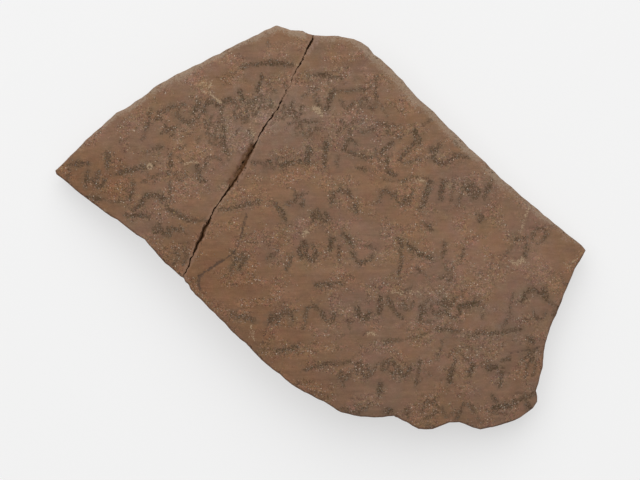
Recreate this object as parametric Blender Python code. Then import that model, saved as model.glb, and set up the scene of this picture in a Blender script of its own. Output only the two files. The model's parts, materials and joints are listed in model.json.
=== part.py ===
"""An ostracon: an inked pottery sherd that has broken in two.

The sherd is a patch of a thick vessel's wall. It lies with its outer, written side up, so it
arches a little and rests on three worn spots of its rim. It has two pieces, main_fragment and
left_fragment, which meet along one old break. Metres, +Z up. The origin is under the middle of
the sherd's box, on the surface that it lies on, and the vessel's own axis runs along Y.
"""

import bmesh
import bpy
import numpy as np
from mathutils import Vector, noise
from mathutils.geometry import delaunay_2d_cdt

MM = 0.001

# The vessel's wall
GIRTH_RADIUS = 225 * MM  # round the vessel's axis
PROFILE_RADIUS = 460 * MM  # along the vessel's axis
WALL = 8.6 * MM  # thickness at the middle of the sherd
WALL_TAPER = 0.008  # thinner by this share of the way towards +Y

# The broken edges, from the written skin down to the back, as (share of the wall's depth,
# share of the arris that is worn away there)
RINGS = ((0.0, 1.0), (0.06, 0.0), (0.5, 0.0), (0.94, 0.0), (1.0, 1.0))
ARRIS = 0.45 * MM  # how far wear has cut back the corner between a skin and a broken edge
NICKS = 0.3 * MM  # depth of the small nicks and nubs along the outline
NICK_SIZE = 2.6 * MM
UNDERCUT = 1.3 * MM  # most that a broken edge slopes in towards the back
UNDERCUT_SIZE = 22 * MM
ROUGHNESS = 0.5 * MM  # how far the break's grain swings the middle of an edge
ROUGHNESS_SIZE = 7 * MM

# The old break between the two fragments
JOIN_GAP = 0.3 * MM
JOIN_LEAN = 2.2 * MM  # how far the main fragment reaches under the left one
JOIN_LEAN_BEND = 0.18  # how far the lean swings from a straight slant, as a share of it
JOIN_LEAN_REACH = 9 * MM  # the lean dies away along the rim over this distance
JOIN_WAVE = 0.25 * MM  # small swings of the break from side to side
LIP_WEAR = 0.03 * MM  # how far wear has cut back the break's lips

# Where those lips have crumbled, as (share of the way along the break, half the length of the
# place as such a share, depth)
LIP_CHIPS = ((0.07, 0.08, 0.08 * MM), (0.55, 0.10, 0.55 * MM), (0.82, 0.07, 0.42 * MM))

EDGE_STEP = 1.9 * MM  # between points along an edge
SKIN_STEP = 3.0 * MM  # between points of the written skin
BACK_STEP = 4.0 * MM  # between points of the back
CLEAR_OF_BORDER = 0.5  # least way from a border to such a point, as a share of the step
WORN_SPOT = 0.5 * MM  # how much wear has flattened the rim where the sherd rests

# Layers of the noise, one for each use of it
NICK_LAYER, UNDERCUT_LAYER, ROUGH_LAYER, WEAR_LAYER, WAVE_LAYER = 1.7, 4.1, 8.3, 2.9, 5.5

FABRIC_COLOUR = (0.195, 0.114, 0.072, 1.0)
FABRIC_ROUGHNESS = 0.9

# Corners of the outline in millimetres, from about the middle of the sherd, as (x, y, swell).
# The swell is how far the stretch that leads to the corner bows outwards, or inwards below 0.
BREAK_TOP = (-2.2, 50.2)
BREAK_FOOT = (-35.6, -12.8)

MAIN_CORNERS = (
    # the top edge, and the long slope down to the right-hand corner
    (8.9, 49.3, 0.2),
    (14.1, 45.2, 0.6),
    (25.4, 33.8, 0.5),
    (36.1, 23.5, 0.3),
    (47.0, 13.3, 0.0),
    (68.3, -4.6, -0.1),
    (69.4, -5.9, 0.1),
    # the right-hand edge
    (66.6, -10.7, 0.1),
    (60.8, -24.2, 0.1),
    (58.9, -30.0, 0.0),
    (58.1, -36.5, -0.1),
    (56.5, -42.5, 0.0),
    # the lower right lobe and its scalloped foot
    (56.8, -45.4, 0.2),
    (52.5, -49.5, 0.4),
    (41.9, -52.6, 0.3),
    (36.3, -50.7, 0.0),
    (33.6, -50.7, 0.0),
    (29.4, -52.4, -0.1),
    (25.8, -52.1, 0.2),
    (19.8, -48.9, 0.1),
    (10.7, -48.9, 0.1),
    # the lower left edge, up to the break
    (5.5, -47.7, 0.1),
    (1.0, -44.8, 0.1),
    (-5.7, -41.6, 0.2),
    (-15.2, -34.0, 0.1),
    (-19.4, -29.8, 0.0),
    (-29.9, -19.5, 0.1),
    (*BREAK_FOOT, 0.4),
)
LEFT_CORNERS = (
    # the lower left edge, on from the break
    (-40.3, -9.0, 0.1),
    (-45.7, -3.0, 0.0),
    (-49.6, -0.3, 0.1),
    (-61.2, 7.8, 0.0),
    # the left-hand point
    (-68.9, 14.0, 0.0),
    (-69.2, 14.9, 0.1),
    # the upper left edge and the peak
    (-62.5, 21.5, 0.0),
    (-53.0, 30.0, 0.1),
    (-43.4, 36.4, -0.3),
    (-37.4, 39.8, 0.1),
    (-31.1, 42.9, 0.1),
    (-16.0, 50.5, 0.1),
    (-11.4, 52.7, 0.0),
    (-7.6, 51.6, 0.0),
    (*BREAK_TOP, 0.2),
)
BREAK_CORNERS = (
    (-6.0, 41.8, 0.1),
    (-11.0, 31.1, 0.1),
    (-16.0, 24.2, -0.3),
    (-19.2, 17.4, 0.1),
    (-26.1, 7.2, 0.0),
    (-31.6, -3.6, -0.1),
    (-34.4, -9.8, 0.0),
    (*BREAK_FOOT, 0.0),
)


def left_of(direction):
    """The unit vector a quarter turn to the left of a direction in the plane."""
    return Vector((-direction.y, direction.x)).normalized()


def walk(start, corners):
    """Points from corner to corner, start left out. Each stretch is a shallow arc."""
    points = []
    here = Vector(start) * MM
    for x, y, swell in corners:
        there = Vector((x, y)) * MM
        along = there - here
        bow = left_of(along) * swell * MM
        count = max(1, round(along.length / EDGE_STEP))
        for i in range(1, count + 1):
            share = i / count
            points.append(here + along * share + bow * 4 * share * (1 - share))
        here = there
    return points


def closed_sides(points):
    """The outward direction at each point of a closed clockwise outline."""
    count = len(points)
    return [left_of(points[(i + 1) % count] - points[i - 1]) for i in range(count)]


def open_sides(points):
    """The direction to the left at each point of an open line."""
    last = len(points) - 1
    return [left_of(points[min(i + 1, last)] - points[max(i - 1, 0)]) for i in range(last + 1)]


def grain(point, size, layer):
    """Smooth noise from -1 to 1 over the plane, different for each layer."""
    return noise.noise(Vector((point.x / size, point.y / size, layer)))


def nick(point):
    """How far the rim is bitten in at a point, or stands out below 0."""
    return NICKS * grain(point, NICK_SIZE, NICK_LAYER)


def edge_reach(point, depth, worn):
    """How far outwards a broken edge reaches at a point of the rim, at a share of its depth."""
    below_rim = max(0.0, depth - RINGS[1][0])
    slope = UNDERCUT * (0.5 + 0.5 * grain(point, UNDERCUT_SIZE, UNDERCUT_LAYER)) * depth
    swing = grain(point, ROUGHNESS_SIZE, ROUGH_LAYER + 2 * depth)
    rough = ROUGHNESS * swing * min(1.0, 3 * below_rim)
    cut_back = ARRIS * worn * (1 + 0.5 * grain(point, ROUGHNESS_SIZE, WEAR_LAYER))
    return rough - slope - cut_back - nick(point)


def lip_depth(share):
    """How far the break's lips have crumbled back, at a share of the way along it."""
    depth = LIP_WEAR
    for place, half_length, chip in LIP_CHIPS:
        off = (share - place) / half_length
        depth += chip * max(0.0, 1 - off * off)
    return depth


class Sherd:
    """The whole sherd's outline with the break across it, and the surfaces of its wall."""

    def __init__(self):
        self.right_rim = walk(BREAK_TOP, MAIN_CORNERS)  # ends at the break's foot
        self.left_rim = walk(BREAK_FOOT, LEFT_CORNERS)  # ends at the break's top
        self.outward = closed_sides(self.right_rim + self.left_rim)
        self.across = left_of(Vector(BREAK_FOOT) - Vector(BREAK_TOP))
        self.join = [Vector(BREAK_TOP) * MM, *walk(BREAK_TOP, BREAK_CORNERS)]
        for point, side in zip(self.join[1:-1], open_sides(self.join)[1:-1], strict=True):
            point += side * JOIN_WAVE * grain(point, NICK_SIZE, WAVE_LAYER)

    def lean(self, point, depth):
        """How far the break's slant shifts a point at a share of the wall's depth."""
        away = min((point - place).length for place in self.join)
        slant = JOIN_LEAN * (depth - JOIN_LEAN_BEND * np.sin(2 * np.pi * depth))
        return -self.across * slant * np.exp(-((away / JOIN_LEAN_REACH) ** 2))

    def rim_ring(self, points, sides, depth, worn):
        """Rim points moved to where the broken edge is at a share of the wall's depth."""
        return [
            point + side * edge_reach(point, depth, worn) + self.lean(point, depth)
            for point, side in zip(points, sides, strict=True)
        ]

    def join_ring(self, depth, worn, towards):
        """The break's line at a share of the depth, on the side that towards (1 or -1) gives."""
        last = len(self.join) - 1
        foot_out = self.outward[len(self.right_rim) - 1]
        top_out = self.outward[-1]
        ring = []
        for i, (point, side) in enumerate(zip(self.join, open_sides(self.join), strict=True)):
            open_by = JOIN_GAP / 2 + worn * lip_depth(i / last)
            moved = point + side * towards * open_by + self.lean(point, depth)
            if i in (0, last):
                rim_side = foot_out if i else top_out
                moved += rim_side * edge_reach(point, depth, worn)
            ring.append(moved)
        return ring

    def main_rings(self):
        """The main fragment's outlines, clockwise, one for each ring."""
        rim, sides = self.right_rim[:-1], self.outward[: len(self.right_rim) - 1]
        return [
            self.rim_ring(rim, sides, depth, worn) + self.join_ring(depth, worn, 1)[::-1]
            for depth, worn in RINGS
        ]

    def left_rings(self):
        """The left fragment's outlines, clockwise, one for each ring."""
        rim, sides = self.left_rim[:-1], self.outward[len(self.right_rim) : -1]
        return [
            self.rim_ring(rim, sides, depth, worn) + self.join_ring(depth, worn, -1)
            for depth, worn in RINGS
        ]

    @staticmethod
    def place(point, depth):
        """The place in space of a point of the plane, at a share of the wall's depth."""
        x, y = point
        thickness = WALL - WALL_TAPER * y
        normal = Vector((x / GIRTH_RADIUS, y / PROFILE_RADIUS, 1)).normalized()
        height = -(x * x) / (2 * GIRTH_RADIUS) - y * y / (2 * PROFILE_RADIUS)
        return Vector((x, y, height)) - normal * thickness * depth


def inner_points(border, step):
    """A triangular grid inside a border, clear of its line."""
    line = np.array(border)
    ends = np.roll(line, -1, axis=0)
    low, high = line.min(axis=0), line.max(axis=0)
    rows = []
    for row, y in enumerate(np.arange(low[1], high[1], step * np.sqrt(3) / 2)):
        x = np.arange(low[0] + step / 2 * (row % 2), high[0], step)
        rows.append(np.column_stack((x, np.full_like(x, y))))
    grid = np.concatenate(rows)[:, None]
    # a point is inside when a line from it to the right crosses the border an odd number of times
    spans = (line[:, 1] > grid[..., 1]) != (ends[:, 1] > grid[..., 1])
    rise = np.where(ends[:, 1] == line[:, 1], 1e-12, ends[:, 1] - line[:, 1])
    crossing = line[:, 0] + (grid[..., 1] - line[:, 1]) / rise * (ends[:, 0] - line[:, 0])
    inside = (spans & (grid[..., 0] < crossing)).sum(axis=1) % 2 == 1
    along = ends - line
    share = ((grid - line) * along).sum(axis=-1) / (along * along).sum(axis=-1)
    nearest = line + np.clip(share, 0, 1)[..., None] * along
    clear = np.linalg.norm(grid - nearest, axis=-1).min(axis=1) > CLEAR_OF_BORDER * step
    return [Vector(point) for point in grid[inside & clear, 0]]


def skin(border, step):
    """The points that fill a border, and the triangles over the border's points and those."""
    inner = inner_points(border, step)
    count = len(border)
    edges = [(i, (i + 1) % count) for i in range(count)]
    made, _, triangles, *_ = delaunay_2d_cdt(border + inner, edges, [], 1, 1e-7)
    if len(made) != count + len(inner):
        raise ValueError("a border crosses itself")
    return inner, triangles


def fragment_mesh(rings):
    """A fragment as a bmesh: its written skin, its broken edges ring by ring, and its back."""
    mesh = bmesh.new()
    levels = [
        [mesh.verts.new(Sherd.place(point, depth)) for point in ring]
        for ring, (depth, _) in zip(rings, RINGS, strict=True)
    ]
    for upper, lower in zip(levels, levels[1:]):
        for i in range(len(upper)):
            j = (i + 1) % len(upper)
            mesh.faces.new((upper[i], upper[j], lower[j], lower[i]))
    for ring, level, depth, step in (
        (rings[0], levels[0], 0.0, SKIN_STEP),
        (rings[-1], levels[-1], 1.0, BACK_STEP),
    ):
        inner, triangles = skin(ring, step)
        verts = level + [mesh.verts.new(Sherd.place(point, depth)) for point in inner]
        for triangle in triangles:
            mesh.faces.new([verts[i] for i in triangle])
    bmesh.ops.triangulate(mesh, faces=mesh.faces[:])
    bmesh.ops.recalc_face_normals(mesh, faces=mesh.faces[:])
    return mesh


def centre_of_mass(meshes):
    """The centre of mass of some closed bmeshes of one density."""
    volume, moment = 0.0, Vector()
    for mesh in meshes:
        for face in mesh.faces:
            a, b, c = (vert.co for vert in face.verts)
            part = a.dot(b.cross(c)) / 6
            volume += part
            moment += part * (a + b + c) / 4
    return moment / volume


def beneath(face, middle):
    """Whether a point, dropped square on to a face's plane, lands within the face."""
    corners = [vert.co for vert in face.verts]
    return all(
        (end - start).cross(middle - start).dot(face.normal) >= 0
        for start, end in zip(corners, corners[1:] + corners[:1])
    )


def lay_down(meshes):
    """Turns the fragments, as one sherd, on to the face of their hull beneath their middle."""
    middle = centre_of_mass(meshes)
    hull = bmesh.new()
    for mesh in meshes:
        for vert in mesh.verts:
            hull.verts.new(vert.co)
    bmesh.ops.convex_hull(hull, input=hull.verts[:])
    hull.normal_update()
    seat = next(f for f in hull.faces if f.normal.z < -0.9 and beneath(f, middle))
    turn = seat.normal.rotation_difference(Vector((0, 0, -1))).to_matrix()
    hull.free()
    for mesh in meshes:
        bmesh.ops.transform(mesh, matrix=turn.to_4x4(), verts=mesh.verts[:])
    low = np.min([vert.co for mesh in meshes for vert in mesh.verts], axis=0)
    high = np.max([vert.co for mesh in meshes for vert in mesh.verts], axis=0)
    middle = (low + high) / 2
    shift = Vector((-middle[0], -middle[1], -low[2] - WORN_SPOT))
    for mesh in meshes:
        bmesh.ops.translate(mesh, vec=shift, verts=mesh.verts[:])


def wear_flat(mesh):
    """Cuts off what reaches below the surface that the sherd lies on."""
    everything = mesh.verts[:] + mesh.edges[:] + mesh.faces[:]
    bmesh.ops.bisect_plane(
        mesh, geom=everything, plane_co=(0, 0, 0), plane_no=(0, 0, -1), clear_outer=True
    )
    cut = [edge for edge in mesh.edges if edge.is_boundary]
    bmesh.ops.edgeloop_fill(mesh, edges=cut)
    bmesh.ops.dissolve_degenerate(mesh, dist=0.01 * MM, edges=mesh.edges[:])
    bmesh.ops.triangulate(mesh, faces=mesh.faces[:])
    bmesh.ops.recalc_face_normals(mesh, faces=mesh.faces[:])


def fired_clay(name):
    """A matt brown clay."""
    material = bpy.data.materials.new(name)
    material.use_nodes = True
    shader = material.node_tree.nodes["Principled BSDF"]
    shader.inputs["Base Color"].default_value = FABRIC_COLOUR
    shader.inputs["Roughness"].default_value = FABRIC_ROUGHNESS
    shader.inputs["Metallic"].default_value = 0.0
    material.diffuse_color = FABRIC_COLOUR
    return material


def add_fragment(name, mesh, parent):
    """Puts a bmesh into the scene as a named object under its parent."""
    data = bpy.data.meshes.new(name)
    mesh.to_mesh(data)
    mesh.free()
    data.materials.append(fired_clay(name + "_clay"))
    data.shade_smooth()
    data.set_sharp_from_angle(angle=np.radians(35))
    fragment = bpy.data.objects.new(name, data)
    fragment.parent = parent
    bpy.context.collection.objects.link(fragment)


def main():
    for leftover in list(bpy.data.objects):
        bpy.data.objects.remove(leftover, do_unlink=True)
    sherd = Sherd()
    main_fragment = fragment_mesh(sherd.main_rings())
    left_fragment = fragment_mesh(sherd.left_rings())
    lay_down([main_fragment, left_fragment])
    ostracon = bpy.data.objects.new("ostracon", None)
    bpy.context.collection.objects.link(ostracon)
    for name, mesh in (("main_fragment", main_fragment), ("left_fragment", left_fragment)):
        wear_flat(mesh)
        add_fragment(name, mesh, ostracon)


main()
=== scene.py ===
"""Looks of an inked pottery sherd that broke in two and was laid together again.

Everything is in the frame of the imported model: X runs along the sherd, Y up its written
face and Z away from the table. Sizes of marks and wear are given in millimetres.
"""

import json
import logging
import math
import random
from collections.abc import Iterable, Sequence
from dataclasses import dataclass
from enum import Enum

import bmesh
import bpy
import numpy as np
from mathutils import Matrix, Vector, kdtree, noise
from mathutils.bvhtree import BVHTree

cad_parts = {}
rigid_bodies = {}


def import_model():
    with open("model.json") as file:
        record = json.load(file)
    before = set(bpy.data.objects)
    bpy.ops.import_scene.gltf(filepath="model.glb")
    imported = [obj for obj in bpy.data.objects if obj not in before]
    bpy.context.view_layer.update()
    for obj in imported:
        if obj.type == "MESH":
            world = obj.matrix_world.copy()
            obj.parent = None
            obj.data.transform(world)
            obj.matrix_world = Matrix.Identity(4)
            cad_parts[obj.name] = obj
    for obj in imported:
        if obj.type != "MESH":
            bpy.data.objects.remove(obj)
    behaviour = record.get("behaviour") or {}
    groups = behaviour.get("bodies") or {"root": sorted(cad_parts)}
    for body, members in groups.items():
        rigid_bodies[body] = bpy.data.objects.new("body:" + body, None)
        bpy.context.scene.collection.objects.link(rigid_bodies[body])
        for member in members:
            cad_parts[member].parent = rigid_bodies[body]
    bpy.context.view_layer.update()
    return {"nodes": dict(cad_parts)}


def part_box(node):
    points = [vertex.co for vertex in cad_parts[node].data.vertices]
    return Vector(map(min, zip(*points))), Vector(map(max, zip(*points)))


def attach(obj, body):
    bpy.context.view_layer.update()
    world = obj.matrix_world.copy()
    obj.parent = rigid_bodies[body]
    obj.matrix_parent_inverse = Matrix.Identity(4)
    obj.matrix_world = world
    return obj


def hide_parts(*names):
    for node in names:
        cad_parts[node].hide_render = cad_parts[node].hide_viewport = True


MM = 0.001
BODY = "root"
LINE_RISE = math.radians(3.6)
# Settles how the hand that drew the touches wavers.
HAND_SEED = 5
# A side's share of a point: below the first it doesn't reach the point, above the second
# the point lies inside it.
NO_SHARE, WHOLE_SHARE = 0.01, 0.99
# Shortest length in millimetres that a direction is worked out from.
HAIR = 1e-3
# In millimetres: the width over which the edge of a touch of ink fades and how far it wanders,
# the same for the haze round it with how much wider that is, and the fading of a scar's edge.
INK_SOFT, INK_RAGGED = 0.65, 0.2
HAZE_SOFT, HAZE_RAGGED, HAZE_REACH = 2.4, 0.7, 0.6
SCAR_SOFT = 0.5

Point = tuple[float, float]
Place = tuple[float, float, float]
Colour = tuple[float, float, float]
Line = tuple[Point, ...]

log = logging.getLogger("sherd")


class Side(Enum):
    """The three surfaces of a fragment, numbered as the faces remember them."""

    SKIN = 0
    BREAK = 1
    BACK = 2


class Layer(Enum):
    """What the clay material reads from the mesh at each point."""

    INK = "ink"
    INK_WEIGHT = "ink_weight"
    SMUDGE = "smudge"
    BROKEN = "broken"
    HIDDEN = "hidden"
    # Pale rim: wear, with a painted highlight on the upper edges.
    RIM_PALE = "rim_pale"
    # Dark rim: painted shade along the lower edges.
    RIM_DARK = "rim_dark"
    LIP = "lip"
    FLAKE = "flake"
    # Skin darker and warmer at the lower left, lighter at the right.
    TAN = "tan"
    CORE = "core"
    # Dirt and painted shade in the join and on the shaded slope of its lip.
    DIRT = "dirt"
    # Painted shade deep in the narrow parts of the join.
    CLEFT = "cleft"
    SCUFF = "scuff"
    STAIN = "stain"
    DUST = "dust"


class Touch(Enum):
    """Shapes of one touch of the reed pen, drawn from the box corner (0, 0) to (1, 1)."""

    LINE = (((0.0, 0.0), (0.3, 0.33), (0.65, 0.62), (1.0, 1.0)),)
    TAIL = (((0.0, 0.0), (0.08, 0.3), (0.5, 0.62), (1.0, 1.0)),)
    BROW = (((0.0, 0.0), (0.18, 0.72), (0.5, 1.0), (0.82, 0.84), (1.0, 0.42)),)
    SAG = (((0.0, 0.9), (0.2, 0.3), (0.48, 0.0), (0.8, 0.22), (1.0, 0.7)),)
    WAVE = (((0.0, 0.25), (0.12, 0.85), (0.3, 0.6), (0.36, 0.1), (0.62, 0.4), (0.72, 1.0)),)
    KNOT = (
        ((0.05, 0.2), (0.0, 0.6), (0.3, 1.0), (0.5, 0.65), (0.3, 0.3)),
        ((0.55, 0.15), (0.85, 0.0), (1.0, 0.4), (0.85, 0.85)),
    )
    GORSE = (
        ((0.0, 0.1), (0.45, 0.5), (1.0, 0.95)),
        ((0.3, 1.0), (0.42, 0.75)),
        ((0.68, 0.0), (0.86, 0.4)),
    )
    DAB = (((0.15, 0.35), (0.5, 0.6), (0.85, 0.5)),)
    PAIR = (((0.0, 0.0), (0.15, 0.5), (0.34, 1.0)), ((0.66, 0.1), (0.84, 0.5), (1.0, 0.92)))
    HUSKS = (((0.0, 0.0), (0.36, 0.5), (0.1, 1.0)), ((0.6, 0.02), (1.0, 0.55), (0.68, 0.98)))
    FAN = (((0.0, 0.15), (0.1, 0.75)), ((0.42, 0.0), (0.52, 0.9)), ((0.82, 0.22), (1.0, 1.0)))
    CRUMBS = (((0.0, 0.3), (0.1, 0.4)), ((0.42, 0.8), (0.56, 0.9)), ((0.88, 0.15), (1.0, 0.3)))


@dataclass(frozen=True)
class Mark:
    """One inked touch: its shape, where its box starts and ends, pen width and darkness."""

    touch: Touch
    start: Point
    end: Point
    pen: float
    dark: float

    def lines(self) -> list[np.ndarray]:
        """Draws the touch with the waver of a hand.

        Returns:
            The points of each of its lines in millimetres.
        """
        low = np.array(self.start)
        span = np.array(self.end) - low
        drawn = []
        for line in self.touch.value:
            points = rounded(np.array(line) * span + low)
            for pitch, swing in ((0.3, 0.45), (1.1, 0.16)):
                places = (points * pitch).tolist()
                waver = [noise.noise_vector(Vector((x, y, 3.0))).xy for x, y in places]
                points = points + swing * np.array(waver)
            drawn.append(points)
        return drawn


@dataclass(frozen=True)
class Scar:
    """A scratch, cut or smear on the skin: its line, width, depth and what it shows."""

    layer: Layer
    line: Line
    width: float
    depth: float = 0.0
    strength: float = 1.0
    ragged: float = 0.15


def ink_row(*touches: tuple[Touch, float, float, float, float, float, float]) -> tuple[Mark, ...]:
    """One row of the writing, as touches that follow each other but spell nothing.

    Args:
        touches: The shape of each touch, X and Y where its box starts, X and Y where it ends,
            the width of the pen in millimetres and how dark it is.

    Returns:
        The marks in the same order.
    """
    return tuple(
        Mark(touch, (x, y), (end_x, end_y), pen, dark)
        for touch, x, y, end_x, end_y, pen, dark in touches
    )


L, T, B, S, W, K = Touch.LINE, Touch.TAIL, Touch.BROW, Touch.SAG, Touch.WAVE, Touch.KNOT
G, D, P, H, F, C = Touch.GORSE, Touch.DAB, Touch.PAIR, Touch.HUSKS, Touch.FAN, Touch.CRUMBS

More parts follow.
